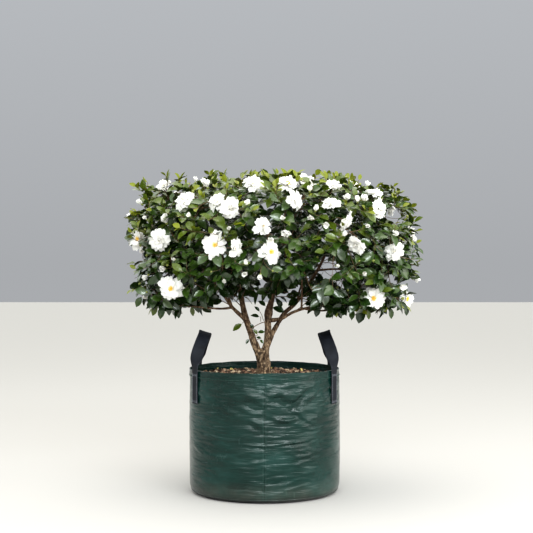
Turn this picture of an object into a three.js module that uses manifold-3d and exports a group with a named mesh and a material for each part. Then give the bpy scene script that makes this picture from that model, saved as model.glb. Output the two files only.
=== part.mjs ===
// A white-flowering camellia shrub, kept low and broad on a short forked trunk, standing in a round
// bag of woven green plastic with two black web handles. The bag is filled with potting mix.
// Millimetres, +Z up. The origin is the centre of the bag's flat underside, and the shrub's front
// looks along -Y. Everything is worked out from the sizes below.

import * as THREE from "three";
import { mergeVertices } from "three/addons/utils/BufferGeometryUtils.js";
import Module from "manifold-3d";

const wasm = await Module();
wasm.setup();

const point = (x, y, z) => new THREE.Vector3(x, y, z);
const degrees = THREE.MathUtils.degToRad;

// Driving sizes
const CLEARANCE = 0.3; // between pieces that touch
const FINEST = 0.05; // detail smaller than this is left out

const BAG = { radius: 250, height: 410, wall: 3, corner: 24, hemHeight: 26, hemStep: 1.2, sides: 40 };
const SOIL_LEVEL = 384;

const HANDLE = {
  width: 40,
  thickness: 2.4,
  legAngle: 63.3, // each leg's place round the bag, from the front or from the back
  sewnLength: 108, // of each leg, down the bag's side from the rim
  rise: 118, // of the loop over the rim
  inset: 54, // how far the top of the loop leans in from the bag's side
  lean: 17, // the webbing's slope across its width at the top
  steps: 16,
};

// The crown is a broad, flat-topped cushion. Its outline is level 1 of crownLevel().
const CROWN = {
  heart: point(31, 0, 806),
  halfWidth: 488,
  halfDepth: 392,
  halfHeight: 252,
  planPower: 2.3,
  heightPower: 3.4,
  bottom: 560, // height of the lowest foliage
  archRise: 88, // the foliage's underside is arched over the trunk from front to back
  archCentre: -20,
  archHalfWidth: 215,
  edgeLift: 70, // the underside rises towards the front and back
};

// Daylight gaps run from front to back, on lines that meet at the viewpoint.
const VIEWPOINT = point(6, -4000, 752);
const GAPS = [
  { x: 207, z: 736, radius: 33 },
  { x: -8, z: 686, radius: 20 },
  { x: 62, z: 682, radius: 15 },
  { x: 128, z: 662, radius: 20 },
  { x: 98, z: 628, radius: 18 },
  { x: -62, z: 652, radius: 13 },
  { x: 58, z: 626, radius: 24 },
  { x: 160, z: 700, radius: 15 },
];

// A leaf here stands for several of the shrub's own, so it is larger than they are.
const LEAF = { length: 86, width: 43, thickness: 1.8, droop: 0.13, fold: 0.09, widest: 0.46 };
const LEAVES = {
  perShoot: 4,
  perBloom: 1,
  step: 17, // back along the shoot from one leaf to the next
  first: 1.5, // from the shoot's tip to its last leaf
  sunk: 0.15,
  splay: 58, // from the shoot's own way
  endSplay: 18, // of its last leaf
  turn: 137.5,
  waver: 0.9,
  leadingSize: 0.8, // of leaves on leading shoots
  leadingReach: 78, // of their tips from the end of the shoot
};

const TWIG = { sides: 3, stemRadius: 3.6, radius: 2.4, tipRadius: 1.5, taper: 0.85, nodeStep: 78, clear: 3 };
const SHOOTS = {
  perMass: 5,
  tries: 1200, // places tried for each
  innermost: 0.55, // crown levels between which shoots end
  outermost: 0.86,
  lift: 24, // over the crown's underside
  clear: 10, // of limbs and of the next mass
  reach: 270, // from the mass's heart
};
const BLOOM = { petals: 6, depth: 0.42, cup: 0.1, notch: 0.87, sunk: 4 };
const HIDDEN_BLOOMS = { count: 17, spacing: 140, smallest: 52, largest: 74, seed: 77 };

const COLOURS = {
  bag: { color: 0x21453a, roughness: 0.42 },
  webbing: { color: 0x1c1e22, roughness: 0.8 },
  soil: { color: 0x5a4032, roughness: 0.95 },
  bark: { color: 0x7a6650, roughness: 0.9 },
  foliage: { color: 0x2c4f24, roughness: 0.4 },
};

// Limbs. Each is a smooth curve from where it springs, through its bends, to its tip, and tapers
// from its first radius to its last. Thick ones have more sides. A limb comes after its parent.
const LIMBS = [
  { name: "trunk", sides: 10, radii: [22.5, 20.5, 20, 22.5],
    bends: [[-2, 0, SOIL_LEVEL + CLEARANCE], [-3, 0, 426], [-8, 0, 466]] },
  { name: "bough_left", sides: 8, radii: [12, 9.5, 8.5, 6.5, 4.2],
    bends: [[-12, 0, 438], [-39, -6, 505], [-67, -3, 590], [-84, 38, 670], [-122, 122, 790]] },
  { name: "bough_centre", sides: 8, radii: [13, 10, 10.5, 6.5, 5, 3.6],
    bends: [[-6, 0, 438], [9, 2, 500], [13, 3, 590], [31, 0, 664], [33, -14, 708], [66, -98, 850]] },
  { name: "bough_right", sides: 7, radii: [8, 6.6, 5.2, 3.6],
    bends: [[4, 1, 466], [31, 12, 531], [68, 26, 590], [107, 34, 626], [179, 45, 735], [232, 40, 846]] },
  { name: "bough_outer_left", sides: 7, radii: [6.5, 4.6, 3.2],
    bends: [[-60, -8, 566], [-107, -38, 612], [-146, -64, 671], [-200, -84, 736], [-252, -88, 775]] },
  { name: "bough_right_low", sides: 7, radii: [6.5, 3.2],
    bends: [[12, 0, 565], [55, -32, 574], [96, -50, 596], [168, -76, 619]] },
  { name: "branch_low_left", sides: 5, radii: [3.6, 2.6],
    bends: [[-106, -37, 610], [-146, -54, 607], [-256, -80, 618]] },
  { name: "branch_low_right", sides: 5, radii: [3.4, 2.5],
    bends: [[134, -62, 607], [198, -32, 600], [276, -14, 616]] },
  { name: "branch_far_right", sides: 5, radii: [3.6, 2.6],
    bends: [[179, 45, 733], [237, 22, 737], [328, -8, 730]] },
  { name: "branch_top_left", sides: 5, radii: [3.4, 2.6],
    bends: [[-146, -64, 671], [-200, -36, 780], [-270, -26, 872]] },
  { name: "branch_upper_front_left", sides: 5, radii: [4.4, 2.8],
    bends: [[31, -1, 668], [10, -28, 738], [-72, -108, 865]] },
  { name: "branch_upper_back_right", sides: 5, radii: [4.4, 2.8],
    bends: [[24, 2, 640], [56, 76, 735], [92, 140, 850]] },
  { name: "branch_front_left", sides: 5, radii: [3.4, 2.5],
    bends: [[-107, -38, 612], [-126, -82, 670], [-146, -128, 724]] },
  { name: "branch_front_right", sides: 5, radii: [3.4, 2.5],
    bends: [[121, -58, 604], [122, -90, 662], [120, -134, 722]] },
  { name: "branch_back_left", sides: 5, radii: [3.6, 2.6],
    bends: [[-74, 10, 625], [-112, 74, 662], [-158, 130, 696]] },
  { name: "branch_back_right", sides: 5, radii: [3.6, 2.6],
    bends: [[107, 34, 626], [124, 86, 678], [150, 140, 722]] },
];
const LIMB_STEP = 36; // length of one straight section of a limb
const FLARE = { spread: 9, height: 24 };

// Masses of foliage. Each grows from the tip of its limb round its own heart, and keeps to the
// space that is nearer to its heart than to any other. Leading shoots reach past the outline.
const MASSES = [
  { name: "foliage_top_left", limb: "branch_top_left", heart: [-315, -30, 930],
    leading: [[-402, -45, 1004], [-330, -40, 1000], [-416, -60, 896]] },
  { name: "foliage_top_front_left", limb: "branch_upper_front_left", heart: [-125, -165, 925],
    leading: [[-120, -120, 1000]] },
  { name: "foliage_top_back_left", limb: "bough_left", heart: [-140, 185, 915],
    leading: [[-150, 336, 905]] },
  { name: "foliage_top_front_right", limb: "bough_centre", heart: [110, -170, 930],
    leading: [[30, -90, 1000]] },
  { name: "foliage_top_back_right", limb: "branch_upper_back_right", heart: [125, 190, 925],
    leading: [[140, 338, 905]] },
  { name: "foliage_top_right", limb: "bough_right", heart: [325, 10, 925],
    leading: [[416, 0, 1000], [292, -30, 1000]] },
  { name: "foliage_left", limb: "bough_outer_left", heart: [-355, -80, 775],
    leading: [[-400, -80, 828]] },
  { name: "foliage_low_left", limb: "branch_low_left", heart: [-310, -60, 645],
    leading: [[-396, -70, 672], [-362, -70, 612]] },
  { name: "foliage_front_left", limb: "branch_front_left", heart: [-160, -190, 765], leading: [] },
  { name: "foliage_front_right", limb: "branch_front_right", heart: [120, -200, 770], leading: [] },
  { name: "foliage_back_left", limb: "branch_back_left", heart: [-210, 180, 735], leading: [] },
  { name: "foliage_back_right", limb: "branch_back_right", heart: [200, 190, 760], leading: [] },
  { name: "foliage_right", limb: "branch_far_right", heart: [415, -10, 765],
    leading: [[470, -30, 848], [458, -20, 764]] },
  { name: "foliage_low_front_right", limb: "bough_right_low", heart: [228, -110, 640],
    leading: [[300, -110, 604]] },
  { name: "foliage_low_right", limb: "branch_low_right", heart: [370, 0, 640],
    leading: [[440, -40, 634]] },
];

// A small leafy shoot droops from the middle bough, low in the fork and below the crown.
const FORK_SHOOT = {
  bends: [[13, 3, 562], [-6, -16, 566], [-34, -30, 550], [-58, -36, 528]],
  radii: [2.2, 1.5],
  leaves: 6,
  leafSize: 0.62,
  seed: 51,
};

// Open blooms at the front: x and z where the line from the viewpoint meets the trunk's plane,
// width across, and the way each faces, as a turn to the right and a lift, in degrees.
const FRONT_BLOOMS = [
  { x: -339, z: 1014, across: 64, turn: -50, lift: 35 },
  { x: -268, z: 972, across: 68, turn: -25, lift: 40 },
  { x: -161, z: 960, across: 62, turn: -25, lift: 20 },
  { x: -112, z: 938, across: 70, turn: 25, lift: -12 },
  { x: -40, z: 1024, across: 64, turn: 15, lift: 50 },
  { x: 78, z: 1026, across: 66, turn: 12, lift: 45 },
  { x: 104, z: 968, across: 58, turn: 40, lift: 5 },
  { x: 230, z: 1020, across: 54, turn: 5, lift: 60 },
  { x: 218, z: 958, across: 60, turn: -20, lift: 45 },
  { x: 276, z: 896, across: 60, turn: 62, lift: -35 },
  { x: 366, z: 992, across: 50, turn: 20, lift: 58 },
  { x: 384, z: 942, across: 60, turn: 45, lift: 10 },
  { x: -4, z: 880, across: 58, turn: 10, lift: 5 },
  { x: -166, z: 818, across: 80, turn: 0, lift: 5 },
  { x: -96, z: 806, across: 64, turn: 62, lift: -5 },
  { x: 24, z: 796, across: 68, turn: 30, lift: 0 },
  { x: -426, z: 838, across: 74, turn: -48, lift: 10 },
  { x: -350, z: 832, across: 66, turn: -12, lift: -12 },
  { x: -314, z: 672, across: 76, turn: -12, lift: 0 },
  { x: 304, z: 816, across: 60, turn: -48, lift: -25 },
  { x: 431, z: 796, across: 62, turn: -28, lift: 12 },
  { x: 364, z: 640, across: 68, turn: 0, lift: 0 },
  { x: 476, z: 638, across: 58, turn: 52, lift: -8 },
];

// Solids and meshes

// The closed solid of a three.js geometry.
function solidOf(geometry) {
  const bare = geometry.index ? geometry.toNonIndexed() : geometry;
  bare.deleteAttribute("normal");
  bare.deleteAttribute("uv");
  const merged = mergeVertices(bare, 1e-4);
  const corners = merged.index.array;
  const kept = [];
  for (let i = 0; i < corners.length; i += 3) {
    const [a, b, c] = corners.slice(i, i + 3);
    if (a !== b && b !== c && c !== a) kept.push(a, b, c);
  }
  return new wasm.Manifold(new wasm.Mesh({
    numProp: 3,
    vertProperties: merged.attributes.position.array,
    triVerts: new Uint32Array(kept),
  }));
}

// The named mesh of a solid's largest piece. Loose scraps and sealed hollows are left behind.
function meshOf(solid, name, colour) {
  const pieces = solid.simplify(FINEST).decompose();
  const largest = pieces.reduce((best, piece) => (piece.volume() > best.volume() ? piece : best));
  const { vertProperties, triVerts } = largest.getMesh();
  const geometry = new THREE.BufferGeometry();
  geometry.setAttribute("position", new THREE.BufferAttribute(vertProperties, 3));
  geometry.setIndex(new THREE.BufferAttribute(triVerts, 1));
  const mesh = new THREE.Mesh(geometry, new THREE.MeshStandardMaterial({ metalness: 0, ...colour }));
  mesh.name = name;
  return mesh;
}

// Moves each vertex of a geometry to where place() puts it.
function reshape(geometry, place) {
  const position = geometry.attributes.position;
  for (let i = 0; i < position.count; i++) {
    const moved = place(point(position.getX(i), position.getY(i), position.getZ(i)));
    position.setXYZ(i, moved.x, moved.y, moved.z);
  }
  return geometry;
}

// A tapering limb or twig: a cylinder bent along points, with a radius at each.
function limbGeometry(points, radii, sides) {
  const last = points.length - 1;
  const frames = [];
  let across = point(0, 1, 0.02);
  points.forEach((at, i) => {
    const along = points[Math.min(i + 1, last)].clone().sub(points[Math.max(i - 1, 0)]).normalize();
    across = across.clone().addScaledVector(along, -across.dot(along)).normalize();
    frames.push({ at, across, side: across.clone().cross(along) });
  });
  return reshape(new THREE.CylinderGeometry(1, 1, 1, sides, last), (vertex) => {
    const i = last - Math.round((0.5 - vertex.y) * last);
    const { at, across: outward, side } = frames[i];
    return at.clone().addScaledVector(outward, vertex.x * radii[i]).addScaledVector(side, vertex.z * radii[i]);
  });
}

// The value a share t of the way along a list of numbers.
function along(values, t) {
  const i = Math.min(Math.floor(t * (values.length - 1)), values.length - 2);
  return THREE.MathUtils.lerp(values[i], values[i + 1], t * (values.length - 1) - i);
}

// Bag, potting mix and handles

function roundedCorner(radius, floor, corner) {
  return [
    new THREE.Vector2(0, floor),
    new THREE.Vector2(radius - corner, floor),
    new THREE.Vector2(radius - corner * (1 - Math.SQRT1_2), floor + corner * (1 - Math.SQRT1_2)),
    new THREE.Vector2(radius, floor + corner),
  ];
}

function bagSolid() {
  const inner = BAG.radius - BAG.wall;
  const hemFoot = BAG.height - BAG.hemHeight;
  const outline = [
    ...roundedCorner(BAG.radius, 0, BAG.corner),
    new THREE.Vector2(BAG.radius, hemFoot - BAG.hemStep),
    new THREE.Vector2(BAG.radius + BAG.hemStep, hemFoot),
    new THREE.Vector2(BAG.radius + BAG.hemStep, BAG.height),
    new THREE.Vector2(inner, BAG.height),
    ...roundedCorner(inner, BAG.wall, BAG.corner - BAG.wall).reverse(),
  ];
  return solidOf(new THREE.LatheGeometry(outline, BAG.sides).rotateX(Math.PI / 2));
}

function soilSolid() {
  const radius = BAG.radius - BAG.wall - 2 * CLEARANCE;
  const outline = [
    ...roundedCorner(radius, BAG.wall + CLEARANCE, BAG.corner - BAG.wall),
    new THREE.Vector2(radius, SOIL_LEVEL),
    new THREE.Vector2(0, SOIL_LEVEL),
  ];
  return solidOf(new THREE.LatheGeometry(outline, BAG.sides).rotateX(Math.PI / 2));
}

// One handle, on the side of x that the sign gives: a web strap that runs up the bag's side from
// its sewn foot, twists a quarter turn, loops over and comes down the same way at the back.
function handleSolid(sign) {
  const seat = BAG.radius + BAG.hemStep + CLEARANCE + HANDLE.thickness / 2;
  const bearing = degrees(HANDLE.legAngle);
  const leg = point(seat * Math.sin(bearing), seat * Math.cos(bearing), 0);
  const top = BAG.height + HANDLE.rise;
  const path = new THREE.CatmullRomCurve3([
    point(leg.x, -leg.y, BAG.height),
    point(leg.x, -leg.y, BAG.height + 0.14 * HANDLE.rise),
    point(leg.x - 0.16 * HANDLE.inset, -0.93 * leg.y, BAG.height + 0.48 * HANDLE.rise),
    point(leg.x - 0.34 * HANDLE.inset, -0.76 * leg.y, BAG.height + 0.73 * HANDLE.rise),
    point(leg.x - 0.5 * HANDLE.inset, -0.46 * leg.y, BAG.height + 0.93 * HANDLE.rise),
    point(seat - HANDLE.inset, 0, top),
    point(leg.x - 0.5 * HANDLE.inset, 0.46 * leg.y, BAG.height + 0.93 * HANDLE.rise),
    point(leg.x - 0.34 * HANDLE.inset, 0.76 * leg.y, BAG.height + 0.73 * HANDLE.rise),
    point(leg.x - 0.16 * HANDLE.inset, 0.93 * leg.y, BAG.height + 0.48 * HANDLE.rise),
    point(leg.x, leg.y, BAG.height + 0.14 * HANDLE.rise),
    point(leg.x, leg.y, BAG.height),
  ]);
  const foot = point(0, 0, -HANDLE.sewnLength);
  const loop = path.getSpacedPoints(HANDLE.steps);
  const points = [loop[0].clone().add(foot), ...loop, loop[HANDLE.steps].clone().add(foot)];
  const last = points.length - 1;
  const lean = degrees(HANDLE.lean);
  const topAcross = point(-Math.cos(lean), 0, -Math.sin(lean));
  const frames = points.map((at, i) => {
    const forward = points[Math.min(i + 1, last)].clone().sub(points[Math.max(i - 1, 0)]).normalize();
    const front = at.y < 0 ? -1 : 1;
    const sewnAcross = point(-Math.cos(bearing), front * Math.sin(bearing), 0);
    const turned = THREE.MathUtils.smoothstep(at.z, BAG.height + 2, BAG.height + 0.5 * HANDLE.rise);
    const across = sewnAcross.lerp(topAcross, turned);
    across.addScaledVector(forward, -across.dot(forward)).normalize();
    return { at, across, face: across.clone().cross(forward) };
  });
  const strap = new THREE.BoxGeometry(HANDLE.width, HANDLE.thickness, 1, 1, 1, last);
  reshape(strap, (vertex) => {
    const { at, across, face } = frames[Math.round((vertex.z + 0.5) * last)];
    return at.clone().addScaledVector(across, vertex.x).addScaledVector(face, -vertex.y);
  });
  const solid = solidOf(strap);
  return sign > 0 ? solid : solid.mirror([1, 0, 0]);
}

// Limbs

// A limb's centre line, close enough together to measure from, with a radius at each point.
function limbLine({ bends, radii }) {
  const curve = new THREE.CatmullRomCurve3(bends.map((bend) => point(...bend)), false, "centripetal");
  const steps = Math.max(3, Math.round(curve.getLength() / LIMB_STEP));
  return curve.getSpacedPoints(steps).map((at, i) => ({ at, radius: along(radii, i / steps) }));
}

// The trunk spreads at its foot into a root flare.
function withFlare(line) {
  const foot = line[0].at.z;
  const places = [0, 7, 16].map((rise) => ({
    at: point(line[0].at.x, line[0].at.y, foot + rise),
    radius: line[0].radius + FLARE.spread * (1 - rise / FLARE.height) ** 2,
  }));
  return [...places, ...line.slice(1)];
}

// Each limb is cut clear of those before it, so a branch sits on its parent's own bark.
function buildLimbs() {
  const built = [];
  for (const limb of LIMBS) {
    const line = limb.name === "trunk" ? withFlare(limbLine(limb)) : limbLine(limb);
    const shape = (grown) => {
      const points = line.map((place) => place.at.clone());
      const [before, tip] = points.slice(-2);
      tip.addScaledVector(tip.clone().sub(before).normalize(), grown);
      return solidOf(limbGeometry(points, line.map((place) => place.radius + grown), limb.sides));
    };
    let solid = shape(0);
    for (const other of built) solid = solid.subtract(other.grown);
    built.push({ ...limb, line, solid, grown: shape(CLEARANCE) });
  }
  return built;
}

// Growth

// A repeatable stream of numbers from 0 to 1.
function seeded(seed) {
  let state = seed >>> 0;
  return () => {
    state = (state + 0x6d2b79f5) >>> 0;
    let t = state;
    t = Math.imul(t ^ (t >>> 15), t | 1);
    t ^= t + Math.imul(t ^ (t >>> 7), t | 61);
    return ((t ^ (t >>> 14)) >>> 0) / 4294967296;
  };
}

// How far out in the crown a place is: 0 at its heart, 1 on its outline.
function crownLevel(p) {
  const x = Math.abs(p.x - CROWN.heart.x) / CROWN.halfWidth;
  const y = Math.abs(p.y - CROWN.heart.y) / CROWN.halfDepth;
  const z = Math.abs(p.z - CROWN.heart.z) / CROWN.halfHeight;
  const plan = (x ** CROWN.planPower + y ** CROWN.planPower) ** (1 / CROWN.planPower);
  return (plan ** CROWN.heightPower + z ** CROWN.heightPower) ** (1 / CROWN.heightPower);
}

// Height of the foliage's underside over a place in plan.
function underside(p) {
  const share = (p.x - CROWN.archCentre) / CROWN.archHalfWidth;
  const arch = CROWN.archRise * Math.max(0, 1 - share * share);
  return CROWN.bottom + arch + CROWN.edgeLift * (p.y / CROWN.halfDepth) ** 2;
}

// The place that a point of the trunk's plane covers at depth y, seen from the viewpoint.
function onSightLine(x, y, z) {
  const stretch = (y - VIEWPOINT.y) / -VIEWPOINT.y;
  return point(VIEWPOINT.x + (x - VIEWPOINT.x) * stretch, y, VIEWPOINT.z + (z - VIEWPOINT.z) * stretch);
}

function inGap(p) {
  return GAPS.some((gap) => p.distanceTo(onSightLine(gap.x, p.y, gap.z)) < gap.radius);
}

// Whether a place is nearer to a mass's heart than to any other, by at least a margin.
function owns(mass, p, margin) {
  return masses.every((other) => {
    if (other === mass) return true;
    const between = 2 * mass.heart.distanceTo(other.heart);
    return p.distanceToSquared(other.heart) - p.distanceToSquared(mass.heart) > margin * between;
  });
}

function clearOfLimbs(p, margin) {
  return limbs.every(({ line }) => line.every((place, i) => {
    if (i === 0) return true;
    const section = new THREE.Line3(line[i - 1].at, place.at);
    const nearest = section.closestPointToPoint(p, true, point(0, 0, 0));
    return nearest.distanceTo(p) > Math.max(place.radius, line[i - 1].radius) + margin;
  }));
}

function touchesLimb(solid) {
  return limbs.some((limb) => !solid.intersect(limb.grown).isEmpty());
}

// Shoots end pointing out of the crown, and a little up.
function shootEnd(from, tip) {
  const outward = tip.clone().sub(CROWN.heart).normalize();
  const way = tip.clone().sub(from.at).normalize();
  return way.addScaledVector(outward, 0.5).add(point(0, 0, 0.4)).normalize();
}

// A twig is a curve from a node of the growth to a tip, cut into nodes that later twigs spring from.
function growTwig(from, tip, endWay, thickest) {
  const reach = from.at.distanceTo(tip);
  const radius = Math.min(thickest, from.radius * TWIG.taper);
  const way = tip.clone().sub(from.at).normalize();
  const startWay = way.clone().multiplyScalar(0.8).addScaledVector(from.way, 0.5).normalize();
  const root = from.at.clone().addScaledVector(startWay, -0.5 * radius);
  const curve = new THREE.CubicBezierCurve3(
    root,
    root.clone().addScaledVector(startWay, reach * 0.35),
    tip.clone().addScaledVector(endWay ?? shootEnd(from, tip), -reach * 0.35),
    tip,
  );
  const steps = Math.max(2, Math.round(reach / TWIG.nodeStep));
  return Array.from({ length: steps + 1 }, (_, i) => ({
    at: curve.getPoint(i / steps),
    way: curve.getTangent(i / steps),
    radius: THREE.MathUtils.lerp(radius, Math.min(radius, TWIG.tipRadius), i / steps),
  }));
}

// The node a new twig springs from: the nearest, with those that point away from the tip counted as further.
function springFrom(nodes, tip) {
  let best = null;
  let least = Infinity;
  for (const node of nodes) {
    const gap = tip.clone().sub(node.at);
    const cost = gap.length() * (1.6 - 0.6 * gap.clone().normalize().dot(node.way));
    if (gap.length() > 18 && cost < least) {
      least = cost;
      best = node;
    }
  }
  return best;
}

function twigIsClear(mass, twig) {
  return twig.slice(1).every((node, i) => {
    const middle = twig[i].at.clone().lerp(node.at, 0.5);
    return [middle, node.at].every((p) => owns(mass, p, TWIG.clear) && clearOfLimbs(p, TWIG.clear)
      && !nearForeignBloom(mass, p));
  });
}

// A mass's next shoot: of several that would grow clear, the one whose end is furthest from all others.
function nextShoot(mass, nodes, random) {
  const offset = () => (random() * 2 - 1) * SHOOTS.reach;
  let best = null;
  let widest = 0;
  for (let tries = 0; tries < SHOOTS.tries; tries++) {
    const tip = mass.heart.clone().add(point(offset(), offset(), offset()));
    const level = crownLevel(tip);
    if (level < SHOOTS.innermost || level > SHOOTS.outermost || tip.z < underside(tip) + SHOOTS.lift) continue;
    if (!owns(mass, tip, SHOOTS.clear) || inGap(tip)) continue;
    const room = Math.min(...shootEnds.map((end) => end.distanceTo(tip)));
    if (room < widest) continue;
    const twig = growTwig(springFrom(nodes, tip), tip, null, TWIG.radius);
    if (!twigIsClear(mass, twig)) continue;
    widest = room;
    best = twig;
  }
  return best;
}

// Blooms

function facing(turn, lift) {
  const level = Math.cos(degrees(lift));
  return point(level * Math.sin(degrees(turn)), -level * Math.cos(degrees(turn)), Math.sin(degrees(lift)));
}

// The outermost place of the crown on the line from the viewpoint through x, z of the trunk's plane.
function frontPlace(x, z) {
  for (let y = -CROWN.halfDepth; y < 0; y += 4) {
    const p = onSightLine(x, y, z);
    if (crownLevel(p) < 0.93) return p;
  }
  return onSightLine(x, -20, z);
}

function nearestMass(p) {
  return masses.reduce((best, mass) => (p.distanceTo(mass.heart) < p.distanceTo(best.heart) ? mass : best));
}

// Blooms out of sight from the front are dealt over the rest of the outline.
function scatterBlooms(shown) {
  const random = seeded(HIDDEN_BLOOMS.seed);
  const blooms = [...shown];
  while (blooms.length < shown.length + HIDDEN_BLOOMS.count) {
    const around = random() * 2 * Math.PI;
    const height = CROWN.bottom + 60 + random() * 2 * CROWN.halfHeight;
    const across = THREE.MathUtils.lerp(HIDDEN_BLOOMS.smallest, HIDDEN_BLOOMS.largest, random());
    const share = random();
    const at = point(
      CROWN.heart.x + Math.cos(around) * CROWN.halfWidth * Math.sqrt(share),
      Math.sin(around) * CROWN.halfDepth * Math.sqrt(share),
      height,
    );
    const level = crownLevel(at);
    const hidden = at.y > -60 || at.z > 1000;
    if (level < 0.86 || level > 0.94 || !hidden || at.z < underside(at) + 60) continue;
    if (blooms.some((other) => other.at.distanceTo(at) < HIDDEN_BLOOMS.spacing)) continue;
    const way = at.clone().sub(CROWN.heart).multiply(point(1, 1.2, 1.1)).normalize();
    blooms.push({ at, across, way });
  }
  return blooms;
}

function nearForeignBloom(mass, p) {
  return blooms.some((bloom) => bloom.mass !== mass && bloom.at.distanceTo(p) < bloom.across / 2 + 4);
}

// A bloom is a shallow scalloped bowl on a pointed base, facing along its own way.
function bloomSolid({ at, across, way }) {
  const radius = across / 2;
  const outline = [
    new THREE.Vector2(0, -BLOOM.depth * radius),
    new THREE.Vector2(radius, 0.06 * radius),
    new THREE.Vector2(0, -BLOOM.cup * radius),
  ];
  const bowl = new THREE.LatheGeometry(outline, 2 * BLOOM.petals);
  reshape(bowl, (vertex) => {
    const spoke = Math.round((Math.atan2(vertex.z, vertex.x) / Math.PI) * BLOOM.petals);
    const share = spoke % 2 ? BLOOM.notch : 1;
    return vertex.multiply(point(share, 1, share));
  });
  const turn = new THREE.Quaternion().setFromUnitVectors(point(0, 1, 0), way);
  return solidOf(bowl.applyQuaternion(turn).translate(at.x, at.y, at.z));
}

// Leaves

// A folded blade of eight faces whose tip droops, given its foot, its way and its upper side.
function leafPoints(foot, way, up, length) {
  const side = way.clone().cross(up).normalize();
  const over = side.clone().cross(way).normalize();
  const width = (length * LEAF.width) / LEAF.length;
  const place = (lengthways, sideways, height) => foot.clone()
    .addScaledVector(way, lengthways).addScaledVector(side, sideways).addScaledVector(over, height);
  return {
    foot: place(0, 0, 0),
    tip: place(length, 0, -LEAF.droop * length),
    left: place(LEAF.widest * length, -width / 2, LEAF.fold * width),
    right: place(LEAF.widest * length, width / 2, LEAF.fold * width),
    top: place(LEAF.widest * length, 0, LEAF.thickness / 2),
    under: place(LEAF.widest * length, 0, -LEAF.thickness / 2),
  };
}

function leafSolid({ foot, tip, left, right, top, under }) {
  const blade = reshape(new THREE.OctahedronGeometry(1), (vertex) => {
    if (vertex.x < -0.5) return foot;
    if (vertex.x > 0.5) return tip;
    if (vertex.y < -0.5) return right;
    if (vertex.y > 0.5) return left;
    return vertex.z > 0 ? top : under;
  });
  return solidOf(blade);
}

function leafIsClear(mass, leaf, leadingTip) {
  const corners = Object.values(leaf);
  const between = corners.slice(1).map((corner) => leaf.foot.clone().lerp(corner, 0.5));
  const edges = [leaf.left, leaf.right].map((corner) => leaf.tip.clone().lerp(corner, 0.5));
  return [...corners, ...between, ...edges].every((p) => {
    const inReach = crownLevel(p) < 1 || (leadingTip && p.distanceTo(leadingTip) < LEAVES.leadingReach);
    return inReach && owns(mass, p, 0.7) && !inGap(p) && !nearForeignBloom(mass, p)
      && p.z > underside(p) - 12 && clearOfLimbs(p, 2.5)
      && mass.blooms.every((bloom) => bloom.at.distanceTo(p) > 0.42 * bloom.across
        || bloom.at.distanceTo(leaf.foot) < 6);
  });
}

// Leaves alternate back from the tip of a shoot, turning round it, with their faces to the sky.
function leavesOn(twig, { count, size, random, isClear }) {
  const leaves = [];
  const end = twig[twig.length - 1];
  const outward = end.at.clone().sub(CROWN.heart).normalize();
  for (let k = 0; k < count; k++) {
    let back = LEAVES.first + k * LEAVES.step * size;
    let i = twig.length - 1;
    while (i > 1 && back > twig[i].at.distanceTo(twig[i - 1].at)) {
      back -= twig[i].at.distanceTo(twig[i - 1].at);
      i--;
    }
    const section = twig[i].at.distanceTo(twig[i - 1].at);
    const at = twig[i].at.clone().lerp(twig[i - 1].at, Math.min(back / section, 0.95));
    const stalk = twig[i].at.clone().sub(twig[i - 1].at).normalize();
    const across = stalk.clone().cross(point(0.02, 0, 1)).normalize();
    across.applyAxisAngle(stalk, degrees(LEAVES.turn * k) + random() * LEAVES.waver);
    const splay = degrees(k === 0 ? LEAVES.endSplay : LEAVES.splay * (0.8 + 0.4 * random()));
    const way = stalk.multiplyScalar(Math.cos(splay)).addScaledVector(across, Math.sin(splay)).normalize();
    const up = outward.clone().multiplyScalar(0.5).add(point(0, 0, 0.9)).addScaledVector(across, 0.2);
    const length = LEAF.length * size * (0.82 + 0.3 * random());
    const leaf = leafPoints(at.addScaledVector(way, -LEAVES.sunk * twig[i].radius), way, up, length);
    if (!isClear(leaf)) continue;
    const solid = leafSolid(leaf);
    if (!touchesLimb(solid)) leaves.push(solid);
  }
  return leaves;
}

function twigSolid(twig) {
  return solidOf(limbGeometry(twig.map((node) => node.at), twig.map((node) => node.radius), TWIG.sides));
}

// A mass of foliage: a stem from its limb's tip to its heart, then twigs to its blooms and shoot tips.
function massSolid(mass, seed) {
  const random = seeded(seed);
  const [before, tip] = mass.limb.line.slice(-2);
  const limbWay = tip.at.clone().sub(before.at).normalize();
  const start = { at: tip.at, way: limbWay, radius: tip.radius / TWIG.taper };
  const stem = growTwig(start, mass.heart, mass.heart.clone().sub(start.at).normalize(), TWIG.stemRadius);
  const nodes = stem.slice(1);
  const pieces = [twigSolid(stem).subtract(mass.limb.grown)];
  const add = (twig, count, leadingTip) => {
    const size = leadingTip ? LEAVES.leadingSize : 1;
    const isClear = (leaf) => leafIsClear(mass, leaf, leadingTip);
    nodes.push(...twig.slice(1, -1));
    pieces.push(twigSolid(twig), ...leavesOn(twig, { count, size, random, isClear }));
  };
  for (const bloom of mass.blooms) {
    const base = bloom.at.clone().addScaledVector(bloom.way, BLOOM.sunk - (BLOOM.depth * bloom.across) / 2);
    add(growTwig(springFrom(nodes, base), base, bloom.way, TWIG.radius), LEAVES.perBloom);
    pieces.push(bloomSolid(bloom));
  }
  for (const place of mass.leading) {
    const end = point(...place);
    add(growTwig(springFrom(nodes, end), end, null, TWIG.radius), LEAVES.perShoot, end);
    shootEnds.push(end);
  }
  for (let i = 0; i < SHOOTS.perMass; i++) {
    const twig = nextShoot(mass, nodes, random);
    if (!twig) continue;
    add(twig, LEAVES.perShoot);
    shootEnds.push(twig[twig.length - 1].at);
  }
  return wasm.Manifold.union(pieces);
}

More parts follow.
